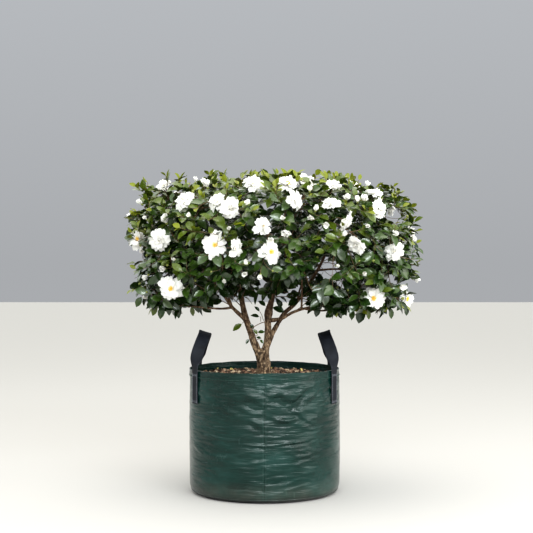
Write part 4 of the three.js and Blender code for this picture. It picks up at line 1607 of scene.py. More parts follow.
    def leaf_is_clear(self, mass: int, p: Array, leading: Array | None, foot: Array) -> bool:
        """Tells whether a leaf's points stay in the crown, out of its gaps and off limbs and blooms.

        Args:
            mass: The mass's index, or -1 outside the masses.
            p: The leaf's points.
            leading: The tip of its leading shoot, if it is on one.
            foot: The leaf's foot.

        Returns:
            Whether it may grow.
        """
        if not self.clear_of_limbs(p, 1.5).all() or mass < 0 and p[:, 2].min() < self.fork_top:
            return False
        if mass >= 0:
            out = self.crown.level(p) > 1.045
            if leading is not None:
                out &= norm(p - leading, axis=1) > 78
            low = p[:, 2] < self.crown.underside(p) - 22
            past = ((p < self.crown.low) | (p > self.crown.high)).any(1)
            if (out | low | past | self.crown.in_gap(p)).any():
                return False
        for number, bloom in enumerate(self.blooms):
            near = norm(p - bloom.at - bloom.way * 6, axis=1) < 0.5 * bloom.across
            if near.any() and norm(foot - bloom.at) > 0.4 * bloom.across:
                return False
            ways = [(bloom.way, 90, 0.3)]
            if number < len(FRONT_BLOOMS):
                ways.append((unit(np.array(self.crown.viewpoint) - bloom.at), np.inf, 0.28))
            for way, depth, share in ways:
                ahead = (p - bloom.at) @ way
                aside = norm(p - bloom.at - ahead[:, None] * way, axis=1)
                if ((ahead > 0) & (ahead < depth) & (aside < share * bloom.across)).any():
                    return False
        return True


@dataclass
class Foliage:
    """Leaves, twigs and buds of the crown.

    Attributes:
        width: A leaf's width for its length.
        thickness: Its thickness for its length.
        outline: Shares of its length, and half its width there.
        bends: The fold, droop and twist of each leaf shape.
        limit: The most leaves in one piece.
        joints: Steps along a twig.
    """

    width: float = 0.55
    thickness: float = 0.014
    outline: tuple[tuple[float, float], ...] = (
        (0, 0), (0.075, 0.03), (0.24, 0.34), (0.48, 0.5), (0.72, 0.42), (0.9, 0.18), (1, 0),
    )
    bends: tuple[Triple, ...] = (
        (0.36, 0.14, 0.15), (0.22, 0.32, -0.25), (0.46, 0.06, 0.3), (0.3, 0.22, -0.1),
    )
    limit: int = 3600
    joints: int = 6

    def leaf(self, fold: float, droop: float, twist: float) -> Stamp:
        """Shapes a leaf of length 1 with its foot at the origin, its tip at +X and its face at +Z.

        Args:
            fold: How much its halves rise from the midrib.
            droop: How far its tip bends down.
            twist: How much it turns along its length.

        Returns:
            The leaf.
        """
        bm = bmesh.new()
        last = len(self.outline) - 1
        ops.create_grid(bm, x_segments=last, y_segments=2, size=0.5)
        for vertex in bm.verts:
            i = round((vertex.co.x + 0.5) * last)
            side = round(vertex.co.y * 2)
            t, half = self.outline[i][0], self.outline[i][1] * self.width
            angle = twist * t
            y = side * half * cos(angle)
            wave = 0.012 * sin(9 * t + 2 * side) * abs(side) * (0 < i < last)
            z = abs(side) * half * fold + side * half * sin(angle) - droop * t * t + 0.05 * t + wave
            vertex.co = (t, y, z)
        return backed(bm, self.thickness)

    def build(self, growth: Growth) -> list[Piece]:
        """Builds the leaves and twigs.

        Args:
            growth: The grown crown.

        Returns:
            The pieces.
        """
        shapes = [self.leaf(*bend) for bend in self.bends]
        spray = growth.leaves
        feet = np.array(spray.feet)
        random = Seeded(31)
        kind = (random.draw(len(feet)) * len(shapes)).astype(int)
        broad = 0.88 + 0.24 * random.draw(len(feet))
        turns = np.array(spray.turns) * np.array(spray.lengths)[:, None, None]
        turns[:, :, 1] *= broad[:, None]
        tones = np.array([tone.name for tone in spray.tones])
        pieces = []
        for tone in Tone:
            chosen = np.nonzero(tones == tone.name)[0]
            material = tone.value.material()
            for part, first in enumerate(range(0, len(chosen), self.limit)):
                rows = chosen[first : first + self.limit]
                joined = Joined()
                for i, shape in enumerate(shapes):
                    of_shape = rows[kind[rows] == i]
                    joined.add(shape, turns[of_shape], feet[of_shape])
                pieces.append(joined.piece(f"leaves_{tone.name.lower()}_{part + 1}", material, SOFT_CREASE))
        pieces.append(self.twigs(growth))
        return pieces

    def twigs(self, growth: Growth) -> Piece:
        """Builds the twigs as one piece of thin tapering tubes.

        Args:
            growth: The grown crown.

        Returns:
            The piece.
        """
        joined = Joined()
        bm = bmesh.new()
        ops.create_cone(bm, cap_ends=True, segments=5, radius1=1, radius2=1, depth=1)
        upright = [e for e in bm.edges if abs(e.verts[0].co.z - e.verts[1].co.z) > 0.5]
        ops.subdivide_edges(bm, edges=upright, cuts=self.joints - 1)
        straight = stamp_of(bm)
        rows = np.round((straight.corners[:, 2] + 0.5) * self.joints).astype(int)
        for twig in growth.twigs:
            line = twig.point(np.linspace(0, 1, self.joints + 1))
            ways = unit(np.gradient(line, axis=0))
            radii = np.linspace(twig.radius[0], twig.radius[-1], self.joints + 1)
            side = unit(np.cross(ways, np.array([0.3, 0.2, 1.0])))
            over = np.cross(side, ways)
            x, y = straight.corners[:, 0:1], straight.corners[:, 1:2]
            shaped = line[rows] + radii[rows, None] * (side[rows] * x + over[rows] * y)
            joined.add(Stamp(shaped, straight.faces), np.eye(3)[None], np.zeros((1, 3)))
        return joined.piece("twigs", TWIG_BARK.material())


@dataclass
class Blossom:
    """Blooms of wavy notched petals round golden stamens, half-open blooms and green buds.

    Attributes:
        stamens: How many stamens an open bloom has.
        stamen_length: Their length.
        spread: A petal's width at each fourth of its length.
        thickness: Its thickness for its length.
        calyx: Radii and heights of the cup under a bloom.
        bud: Radii and heights of a bud.
    """

    stamens: int = 64
    stamen_length: float = 8.5
    spread: tuple[float, ...] = (0.16, 0.52, 0.86, 1.0, 0.74)
    thickness: float = 0.02
    calyx: tuple[tuple[float, float], ...] = (
        (0, 0), (0.16, 0.05), (0.34, 0.3), (0.4, 0.62), (0.3, 0.9), (0, 1),
    )
    bud: tuple[tuple[float, float], ...] = (
        (0, 0), (0.22, 0.08), (0.4, 0.34), (0.36, 0.62), (0.17, 0.88), (0, 1),
    )

    def petal(self, cup: float, curl: float, wave: float, width: float) -> Stamp:
        """Shapes a petal of length 1, from its foot at the origin to its notched edge at +X.

        Args:
            cup: How much its sides rise.
            curl: How far its outer edge bends back.
            wave: How wavy its edge is.
            width: Its width for its length.

        Returns:
            The petal.
        """
        bm = bmesh.new()
        ops.create_grid(bm, x_segments=4, y_segments=4, size=0.5)
        for vertex in bm.verts:
            i = round((vertex.co.x + 0.5) * 4)
            s = vertex.co.y * 2
            t = i / 4
            half = 0.5 * width * self.spread[i]
            notch = 0.1 * max(0.0, 1 - abs(s) * 2.5) if i == 4 else 0
            x = t * (1 - 0.06 * s * s) - notch
            ripple = wave * sin(5 * s + 3 * t) * t * t
            vertex.co = (x, s * half, cup * s * s * half - curl * t**3 + 0.16 * t + ripple)
        return backed(bm, self.thickness)

    @staticmethod
    def stamen() -> Stamp:
        """Shapes a stamen of length 1 along +Z: a thin stalk with a small head.

        Returns:
            The stamen.
        """
        bm = bmesh.new()
        ops.create_cone(bm, cap_ends=True, segments=3, radius1=0.035, radius2=0.03, depth=0.9)
        ops.translate(bm, vec=(0, 0, 0.45), verts=bm.verts)
        head = ops.create_icosphere(bm, subdivisions=1, radius=0.1)["verts"]
        ops.scale(bm, vec=(1, 1, 1.5), verts=head)
        ops.translate(bm, vec=(0, 0, 0.95), verts=head)
        return stamp_of(bm)

    def build(self, growth: Growth) -> list[Piece]:
        """Builds all the blooms and buds.

        Args:
            growth: The grown crown.

        Returns:
            The pieces.
        """
        outer = [self.petal(0.3, 0.2, 0.08, 0.86), self.petal(0.2, 0.36, 0.12, 0.8),
                 self.petal(0.45, 0.1, 0.1, 0.74)]
        inner = [self.petal(0.7, 0.0, 0.07, 0.8), self.petal(0.5, -0.1, 0.1, 0.7)]
        petals, cream, gold, green = Joined(), Joined(), Joined(), Joined()
        stamen = self.stamen()
        calyx, bud = stamp_of(spun(self.calyx, 8)), stamp_of(spun(self.bud, 8))
        for number, bloom in enumerate(growth.blooms):
            random = Seeded(9000 + number)
            base = frame_of(bloom.way, UP if abs(bloom.way[2]) < 0.9 else np.array([0.0, 1.0, 0.0]))
            over, across, away = base[:, 0], base[:, 1], base[:, 2]
            radius = bloom.across / 2
            foot = bloom.at - over * radius * 0.24

            def ring(count: int, size: float, lift: float, shapes: list[Stamp], into: Joined,
                     rise: float = 0.0, start: float = 0.04) -> None:
                """Sets a ring of petals.

                Args:
                    count: How many.
                    size: Their length, as all lengths here a share of the bloom's radius.
                    lift: How steeply they stand, in degrees.
                    shapes: The shapes that they are picked from.
                    into: What they are joined to.
                    rise: How high the ring stands.
                    start: How far out their feet are.
                """
                first = random.between(0, 2 * pi)
                for k in range(count):
                    angle = first + 2 * pi * (k + random.between(-0.14, 0.14)) / count
                    tilt = radians(lift + random.between(-18, 15))
                    out = across * cos(angle) + away * sin(angle)
                    way = unit(out * cos(tilt) + over * sin(tilt))
                    turn = frame_of(way, over * cos(tilt) - out * sin(tilt))
                    turn = turn @ np.array(Matrix.Rotation(random.between(-0.4, 0.4), 3, "X"))
                    length = size * radius * random.between(0.74, 1.1)
                    place = foot + over * rise * radius + out * start * radius
                    into.add(shapes[random.pick(len(shapes))], (turn * length)[None], place[None])

            if bloom.form is Form.HALF:
                ring(5, 1.25, 62, inner, petals, start=0.1)
                ring(4, 1.15, 76, inner, petals, start=0.06)
                ring(3, 0.9, 82, inner, cream)
            else:
                ring(6 + random.pick(3), 1.08, 6, outer, petals)
                ring(4 + random.pick(3), 0.92, 22, outer, petals, 0.04)
                if bloom.form is FULL:
                    ring(3 + random.pick(4), 0.76, 38, outer, petals, 0.06)
                    ring(2 + random.pick(4), 0.58, 56, inner, petals, 0.08)
                    ring(3 + random.pick(2), 0.4, 74, inner, cream, 0.1)
                count, spread = (self.stamens, 0.95) if bloom.form is GOLDEN else (self.stamens // 8, 0.35)
                for _ in range(count):
                    angle = random.between(0, 2 * pi)
                    lean = spread * sqrt(random.unit())
                    out = across * cos(angle) + away * sin(angle)
                    way = unit(over + out * lean)
                    turn = frame_of(way, out + 0.01 * over)[:, [1, 2, 0]]
                    length = self.stamen_length * random.between(0.8, 1.1)
                    place = foot + over * radius * 0.06 + out * lean * 2.5
                    gold.add(stamen, (turn * length)[None], place[None])
            size = min(9.0, 0.24 * bloom.across)
            turn = base[:, [1, 2, 0]] * size * 1.3
            green.add(calyx, turn[None], (foot - over * size * 0.95)[None])
        for at, way, size in growth.buds:
            turn = frame_of(way, np.array([0.3, 0.5, 0.8]))[:, [1, 2, 0]] * size
            green.add(bud, turn[None], (at - way * 1.0)[None])
        return [
            petals.piece("petals", PETAL.material(), SOFT_CREASE),
            cream.piece("inner_petals", INNER_PETAL.material(), SOFT_CREASE),
            gold.piece("stamens", POLLEN.material()),
            green.piece("sepals_and_buds", SEPAL.material(), SOFT_CREASE),
        ]


@dataclass
class Wood:
    """Trunk, boughs and branches as one body of bark, with swollen forks, knots and cracks.

    Attributes:
        step: The length of one step along a limb.
        voxel: The size of the mesh's faces.
        flare: How far the trunk spreads at its foot.
        flare_height: How high that spread reaches.
    """

    step: float = 4.0
    voxel: float = 1.5
    flare: float = 9.0
    flare_height: float = 24.0

    def radii(self, limb: Limb, points: Array, radii: Array) -> Array:
        """Swells a limb where it springs, and unevenly along its length.

        Args:
            limb: The limb.
            points: Its points.
            radii: The plain radii.

        Returns:
            The radii.
        """
        run = self.step * np.arange(len(points))
        uneven = np.array([noise.noise(Vector(p) * 0.03) for p in points])
        swollen = radii * (1.07 + 0.09 * uneven)
        if limb.name == "trunk":
            rise = np.clip(1 - run / self.flare_height, 0, 1)
            dome = np.sqrt(np.clip(1 - ((points[:, 2] - 440) / 32) ** 2, 0.05, 1))
            return (swollen + self.flare * rise**2) * np.where(points[:, 2] > 440, dome, 1)
        if limb.name == "bough_centre":
            knob = np.exp(-(((points[:, 2] - 590) / 17) ** 2))
            swollen = swollen + 3.0 * knob - 2.2 * np.exp(-(((points[:, 2] - 655) / 34) ** 2))
        return swollen * (1 + 0.3 * np.exp(-run / (1.4 * radii[0] + 6)))

    def relief(self, p: Vector) -> float:
        """Works out how far the bark stands out.

        Args:
            p: A place on it.

        Returns:
            The distance in millimetres.
        """
        warp = 2.4 * noise.noise_vector(p * 0.045)
        tall = Vector((p.x * 0.17, p.y * 0.17, p.z * 0.08)) + warp
        cracks = abs(noise.fractal(tall, 1.0, 2.0, 3))
        lumps = noise.noise(p * 0.06)
        fine = noise.noise(p * 0.4)
        return 0.3 + 1.7 * lumps - 0.6 * cracks + 0.35 * fine

    def build(self) -> Piece:
        """Builds the wood.

        Returns:
            The piece, in place of the trunk's and the limbs' nodes.
        """
        bm = bmesh.new()
        for limb in LIMBS:
            points, radii = limb.line(self.step)
            if limb.name == "trunk":
                points = np.vstack([points, points[-1] + (0.0, 0.0, 4.0)])
                radii = np.append(radii, radii[-1] * 0.7)
            part = bmesh.new()
            tube(part, points, self.radii(limb, points, radii), 20 if radii[0] > 7 else 12)
            ops.recalc_face_normals(part, faces=part.faces)
            whole = plain_mesh(part)
            bm.from_mesh(whole)
            bpy.data.meshes.remove(whole)
        self.knots(bm)
        block = bpy.data.objects.new("rough_wood", plain_mesh(bm))
        bpy.context.scene.collection.objects.link(block)
        remesh = block.modifiers.new("remesh", "REMESH")
        remesh.mode = "VOXEL"
        remesh.voxel_size = self.voxel
        graph = bpy.context.evaluated_depsgraph_get()
        mesh = bpy.data.meshes.new_from_object(block.evaluated_get(graph))
        bpy.data.objects.remove(block)
        bm = bmesh.new()
        bm.from_mesh(mesh)
        forks = [v for v in bm.verts if self.by_fork(v.co)]
        for verts in [bm.verts] * 2 + [forks] * 14:
            ops.smooth_vert(bm, verts=verts, factor=0.5, use_axis_x=True, use_axis_y=True, use_axis_z=True)
        bm.normal_update()
        foot = SOIL_LEVEL + 0.3
        for vertex in bm.verts:
            stout = smooth(vertex.co.z, 640, 500) * 0.7 + 0.3
            thin = 1.0 if abs(vertex.co.x) < 110 else 0.55
            vertex.co += vertex.normal * self.relief(vertex.co) * stout * thin
            vertex.co.z = max(vertex.co.z, foot)
        bpy.data.meshes.remove(mesh)
        piece = piece_of(mesh_of(bm), "trunk_and_boughs", Bark().material(), crease=180)
        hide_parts(*(limb.name for limb in LIMBS))
        return piece

    @staticmethod
    def by_fork(p: Vector) -> bool:
        """Returns whether a place is near the trunk's fork or the foot of a bough."""
        return any((p - Vector(place)).length < reach for place, reach in FORKS)

    def knots(self, bm: BMesh) -> None:
        """Adds the knots and pruned stubs that show on the trunk and the lower boughs.

        Args:
            bm: The bmesh that they are added to.
        """
        knots = (((0, -19, 417), 6.5), ((12, -8, 512), 6.0), ((17, -5, 592), 8.0), ((-31, -10, 482), 6.0),
                 ((-74, -6, 585), 6.5), ((33, 6, 540), 5.5), ((-20, -16, 400), 6.0))
        for place, size in knots:
            knot = ops.create_icosphere(bm, subdivisions=3, radius=size)["verts"]
            ops.scale(bm, vec=(0.9, 0.8, 1.1), verts=knot)
            ops.translate(bm, vec=place, verts=knot)


# Planter bag


@dataclass
class PlanterBag:
    """The round bag: wrinkled film with a turned hem, sewn seams and a soft lower edge.

    Attributes:
        radius: Its radius.
        height: Its height.
        wall: The film's thickness, doubled where it is turned over.
        corner: The radius of its lower edge.
        hem: The hem's depth.
        steps: Faces round it.
        welt_steps: Faces round its welt.
    """

    radius: float = 250.0
    height: float = 410.0
    wall: float = 3.0
    corner: float = 32.0
    hem: float = 26.0
    steps: int = 320
    welt_steps: int = 240

    def outline(self) -> list[tuple[float, float]]:
        """Lays out the shell's section, from the middle of the underside over the rim to the inside.

        Returns:
            Its radii and heights.
        """
        inner = self.radius - self.wall
        turns = [radians(a) for a in range(0, 91, 15)]
        base = [(r, 0.0) for r in (0, 60, 120, 170, 205)]
        low = [(self.radius - self.corner * (1 - sin(a)), self.corner * (1 - cos(a))) for a in turns]
        side = [(self.radius, z) for z in np.arange(27, self.height - self.hem - 2, 3.0)]
        hem_foot = self.height - self.hem
        hem = [(self.radius, hem_foot - 1), (self.radius + 0.8, hem_foot + 1)]
        hem += [(self.radius + 0.8, z) for z in np.arange(hem_foot + 4, self.height - 3, 3.0)]
        rim = [(self.radius + 1.4, self.height - 2.4), (self.radius + 1.0, self.height - 0.5),
               (self.radius - 0.8, self.height), (inner, self.height - 0.8)]
        inside = [(inner, z) for z in np.arange(self.height - 5, 360, -5.0)]
        bottom = [(inner, 30.0), (inner - 20, self.wall + 4), (0.0, self.wall)]
        return base + low + side + hem + rim + inside + bottom

    def pucker(self, around: float, z: float) -> float:
        """Works out how far the film stands out at a place.

        Args:
            around: The angle from the front, in radians, positive to the right.
            z: The height.

        Returns:
            The distance in millimetres, negative where it lies in.
        """
        arc = around * self.radius
        panel = 0.0 if arc > 0 else 31.7
        held = 1 - 0.7 * exp(-(((abs(around) - pi / 2) / 0.42) ** 2))
        body = smooth(z, 6, 50) * (1 - smooth(z, 372, 388)) * held
        right = smooth(arc, -30, 90) * (1 - smooth(arc, 300, 400))
        upper = smooth(z, 180, 330)

        def folds(along: float, up: float, turn: float, place: float) -> float:
            """Returns folds from -1 to 1 with sharp crests, by how fast they change along and up."""
            found = noise.noise(Vector((arc * along + z * turn, z * up - arc * turn, place + panel)))
            return 1 - 3.2 * abs(found)

        wide = noise.noise(Vector((arc * 0.009, z * 0.012, 1.3)))
        dents = noise.noise(Vector((arc * 0.016, z * 0.034, 4.1 + panel)))
        fine = noise.noise(Vector((arc * 0.02, z * 0.16, 7.7 + panel)))
        out = body * (2.6 * wide + 2.4 * dents * (0.5 + right * upper) + 0.6 * fine)
        out += body * 1.5 * folds(0.009, 0.05, 0.004, 2.9) * (0.5 + 0.5 * smooth(dents, -0.2, 0.3))
        out += body * 1.0 * folds(0.015, 0.085, -0.008, 5.3) * (0.4 + 0.6 * smooth(wide, -0.2, 0.3))
        out += body * 1.9 * right * upper * folds(0.012, 0.03, 0.011, 8.1)
        out += 2.4 * sin(pi * min(z / 370, 1)) - 2.2
        out += self.creases(arc, z) * body
        pleat = noise.noise(Vector((arc * 0.16, z * 0.012, 3.3))) * smooth(z, 352, 380)
        out += 1.3 * (pleat * (1 - smooth(z, 396, 404)))
        gather = exp(-abs(arc) / 26) * 3.4 * noise.noise(Vector((arc * 0.012, z * 0.085, 6.1 + panel)))
        lap = 1.5 * exp(-arc / 14) if arc > 0 else -1.0 * exp(arc / 10)
        return out + (lap + gather * body) * smooth(z, 2, 20)

    def sway(self, around: float) -> float:
        """Returns how far the rim leans out at an angle from the front, in millimetres."""
        return 1.6 * sin(3 * around + 0.6) + 1.2 * noise.noise(Vector((around * 4, 2.0, 0)))

    def creases(self, arc: float, z: float) -> float:
        """Adds the long folds that show at the front.

        Args:
            arc: The distance round the bag from the front.
            z: The height.

        Returns:
            The distance in millimetres.
        """
        folds = (
            # middle, height, half length, rise over the length, width, depth
            (-25, 185, 75, -2, 3.4, 3.4), (85, 191, 95, 9, 3.2, 3.6), (-20, 150, 40, 0, 5, 2.2),
            (-42, 340, 48, -16, 16, 6.5), (34, 346, 34, 12, 12, 5.0), (72, 338, 50, -14, 16, 7.0),
            (118, 350, 40, 24, 13, 5.5), (-25, 254, 36, -16, 11, 4.2), (52, 266, 44, -8, 9, 4.0),
            (106, 290, 40, -24, 10, 4.4), (85, 372, 60, 6, 5, 1.6), (-70, 300, 40, -8, 8, 2.6),
            (140, 262, 40, -18, 6, 2.2), (60, 262, 50, -4, 6, 1.8), (130, 148, 46, 3, 5, 1.6),
            (150, 232, 40, -6, 5, 1.6), (60, 116, 70, -8, 5, 1.3), (-120, 290, 60, -20, 9, 1.8),
            (40, 210, 40, 4, 4, 1.6), (170, 340, 30, 20, 7, 2.4), (-90, 200, 70, 4, 5, 1.3),
            (-150, 130, 60, 10, 7, 1.4), (210, 200, 60, 12, 6, 1.7),
        )
        total = 0.0
        for middle, height, half, rise, width, depth in folds:
            share = (arc - middle) / half
            if abs(share) < 1:
                off = (z - height - rise * share) / width
                total += depth * (1 - share * share) ** 2 * (exp(-(off**2)) - 0.7 * exp(-((off + 1.6) ** 2)))
        return total

    def build(self) -> list[Piece]:
        """Builds the bag.

        Returns:
            The shell and its sewing.
        """
        bm = spun(self.outline(), self.steps, (0, -1))
        ops.remove_doubles(bm, verts=bm.verts, dist=1e-3)
        inner = self.radius - self.wall
        for vertex in bm.verts:
            x, y, z = vertex.co
            r = hypot(x, y)
            if r < 1:
                continue
            around = atan2(x, -y)
            if r > inner - 1 and z > 355 or r > self.radius - self.corner:
                rim = smooth(z, 360, 410)
                out = self.pucker(around, z) if r > inner + 0.5 else 0.0
                out += rim * self.sway(around)
                if r <= inner + 0.5:
                    out = min(out, 0.8)
                vertex.co.x += x / r * out
                vertex.co.y += y / r * out
                lift = 1.6 * sin(2 * around + 1.1) + 1.3 * noise.noise(Vector((around * 5, 0, 0)))
                vertex.co.z += rim * lift
        film = WovenFilm().material()
        shell = piece_of(mesh_of(bm), "bag_shell", film, crease=70)
        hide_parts("bag")
        return [shell, self.stitches(), self.welt(film)]

    def stitch(self) -> Stamp:
        """Shapes one stitch of thread along +X, 1 long.

        Returns:
            The stitch.
        """
        bm = bmesh.new()
        ops.create_cube(bm, size=1)
        ops.scale(bm, vec=(1, 0.28, 0.2), verts=bm.verts)
        ops.bevel(bm, geom=bm.edges[:], offset=0.06, offset_type="OFFSET", segments=1, profile=0.5,
                  affect="EDGES", material=-1)
        return stamp_of(bm)

    def stitches(self) -> Piece:
        """Sews the hem and the front seam.

        Returns:
            The thread.
        """
        stitch = self.stitch()
        thread = Joined()
        pitch, length = 6.5, 4.6

        def sew(around: float, z: float, stand: float, upright: bool) -> None:
            """Sets a stitch.

            Args:
                around: Its angle from the front.
                z: Its height.
                stand: How far it stands off the film.
                upright: Whether it runs up the bag, and not round it.
            """
            out = np.array([sin(around), -cos(around), 0.0])
            along = np.array([cos(around), sin(around), 0.0])
            turn = np.column_stack([UP, along, out] if upright else [along, UP, out]) * length
            rim = 0.0 if upright else smooth(z, 360, 410)
            r = self.radius + stand + self.pucker(around, z) + rim * self.sway(around)
            thread.add(stitch, turn[None], (out * r + UP * (z + rim))[None])

        count = int(2 * pi * self.radius / pitch)
        for k in range(count):
            sew(2 * pi * k / count, self.height - self.hem + 3, 1.9, False)
        for side in (-4.5, 4.5):
            for z in np.arange(14, self.height - self.hem, pitch):
                sew(side / self.radius, z, 0.4, True)
        piece = thread.piece("bag_stitching", GREEN_THREAD.material())
        return piece

    def welt(self, film: Material) -> Piece:
        """Rolls the sewn welt that joins the side to the bottom.

        Args:
            film: The bag's finish.

        Returns:
            The welt.
        """
        bm = bmesh.new()
        angles = np.linspace(0, 2 * pi, self.welt_steps + 1)
        wobble = np.array([noise.noise(Vector((cos(a) * 3, sin(a) * 3, 0))) for a in angles])
        r = self.radius - 8.4 + 1.0 * wobble
        line = np.column_stack([np.sin(angles) * r, -np.cos(angles) * r, 12.0 + 1.2 * np.roll(wobble, 30)])
        line[-1] = line[0]
        ops.create_grid(bm, x_segments=self.welt_steps, y_segments=8, size=0.5)
        for vertex in bm.verts:
            i = round((vertex.co.x + 0.5) * self.welt_steps)
            turn = (vertex.co.y + 0.5) * 2 * pi
            out = Vector((line[i][0], line[i][1], 0)).normalized()
            vertex.co = Vector(line[i]) + out * 3.0 * cos(turn) + Vector((0, 0, 2.4 * sin(turn)))
        piece = piece_of(mesh_of(bm), "bag_welt", film, crease=70)
        return piece


@dataclass
class WebHandle:
    """A loop of web strap sewn to the bag's side.

    Attributes:
        side: -1 for the left handle and 1 for the right.
        width: The strap's width.
        thickness: Its thickness.
        leg_angle: Each leg's place round the bag, in degrees from the front or the back.
        sewn: The length of each leg that is sewn down.
        rise: How high the loop stands over the rim.
        inset: How far its top leans in.
        lean: The strap's slope across its width at the top, in degrees.
        rim: The bag's height.
        seat: How far a sewn leg's middle is from the bag's axis.
        pitch: The distance between stitches.
        stitch_length: A stitch's length.
    """

    side: int
    width: float = 40.0
    thickness: float = 2.4
    leg_angle: float = 63.3
    sewn: float = 108.0
    rise: float = 118.0
    inset: float = 54.0
    lean: float = 17.0
    rim: float = 410.0
    seat: float = 252.7
    pitch: float = 6.2
    stitch_length: float = 4.6

    def frames(self, steps: int) -> tuple[Array, Array, Array]:
        """Works out the strap's route.

        Args:
            steps: Steps along the loop.

        Returns:
            Points, ways across the strap and ways out of its face.
        """
        bearing = radians(self.leg_angle)
        leg_x, leg_y = self.seat * sin(bearing), self.seat * cos(bearing)
        half = [(0, 1, 0), (0, 1, 0.14), (0.16, 0.93, 0.48), (0.34, 0.76, 0.73), (0.5, 0.46, 0.93)]
        front = [(leg_x - a * self.inset, -b * leg_y, self.rim + c * self.rise) for a, b, c in half]
        back = [(x, -y, z) for x, y, z in reversed(front)]
        loop = spaced(np.array(front + [(self.seat - self.inset, 0, self.rim + self.rise)] + back), steps)
        foot = np.linspace(1, 0, 24)[:-1, None] * np.array([0, 0, -self.sewn])
        points = np.vstack([loop[0] + foot, loop, loop[-1] + foot[::-1]])
        ways = unit(np.vstack([points[1] - points[0], points[2:] - points[:-2], points[-1] - points[-2]]))
        lean = radians(self.lean)
        top = np.array([-cos(lean), 0, -sin(lean)])
        across = []
        for at, way in zip(points, ways):
            front_or_back = -1 if at[1] < 0 else 1
            sewn_across = np.array([-cos(bearing), front_or_back * sin(bearing), 0])
            share = smooth(at[2], self.rim + 2, self.rim + 0.5 * self.rise)
            blended = sewn_across * (1 - share) + top * share
            across.append(unit(blended - way * np.dot(blended, way)))
        across = np.array(across)
        return points, across, np.cross(across, ways)

    def build(self) -> list[Piece]:
        """Builds the strap and its stitching.

        Returns:
            The pieces.
        """
        points, across, face = self.frames(90)
        last = len(points) - 1
        section = 24
        bm = bmesh.new()
        bm.loops.layers.uv.new("strap")
        ops.create_grid(bm, x_segments=section, y_segments=last, size=0.5, calc_uvs=True)
        half, deep = self.width / 2, self.thickness / 2
        for vertex in bm.verts:
            i = round((vertex.co.y + 0.5) * last)
            turn = (vertex.co.x + 0.5) * 2 * pi
            c, s = cos(turn), sin(turn)
            x = half * copysign(abs(c) ** 0.35, c)
            y = deep * copysign(abs(s) ** 0.35, s)
            loop = smooth(points[i][2], self.rim, self.rim + 60)
            cupped = 1.1 * loop * ((x / half) ** 2 - 0.4)
            rough = 0.35 * noise.noise(Vector((x * 0.1, i * 0.35, self.side)))
            vertex.co = Vector(points[i] + across[i] * x - face[i] * (y + cupped + rough))
        ops.remove_doubles(bm, verts=bm.verts, dist=1e-3)
        ops.holes_fill(bm, edges=[e for e in bm.edges if e.is_boundary], sides=0)
        if self.side < 0:
            ops.scale(bm, vec=(-1, 1, 1), verts=bm.verts)
        name = "left" if self.side < 0 else "right"
        strap = piece_of(mesh_of(bm), f"strap_{name}", Webbing().material(), crease=SOFT_CREASE)
        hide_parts(f"handle_{name}")
        return [strap, self.stitches(name)]

    def stitches(self, name: str) -> Piece:
        """Sews each leg down along its edges, its foot and its top.

        Args:
            name: The side's name.

        Returns:
            The thread.
        """
        bearing = radians(self.leg_angle)
        stitch = PlanterBag().stitch()
        thread = Joined()
        flip = np.diag([float(self.side), 1.0, 1.0])
        low, high = self.rim - self.sewn + 5, self.rim - 14
        edge = self.width / 2 - 4
        rows = [((s, low), (s, high)) for s in (-edge, edge)]
        rows += [((-edge, z), (edge, z)) for z in (low, low + 3.5, high, high - 3.5)]
        for front in (-1, 1):
            out = np.array([sin(bearing), front * cos(bearing), 0])
            along = np.array([-cos(bearing), front * sin(bearing), 0])
            seat = out * (self.seat + self.thickness / 2 + 0.2)
            for (a0, z0), (a1, z1) in rows:
                count = max(2, int(hypot(a1 - a0, z1 - z0) / self.pitch))
                way = unit(along * (a1 - a0) + UP * (z1 - z0))
                turn = np.column_stack([way, np.cross(out, way), out]) * self.stitch_length
                for k in range(count + 1):
                    share = k / count
                    place = seat + along * (a0 + (a1 - a0) * share) + UP * (z0 + (z1 - z0) * share)
                    thread.add(stitch, (flip @ turn)[None], (flip @ place)[None])
        piece = thread.piece(f"strap_stitching_{name}", THREAD.material())
        return piece


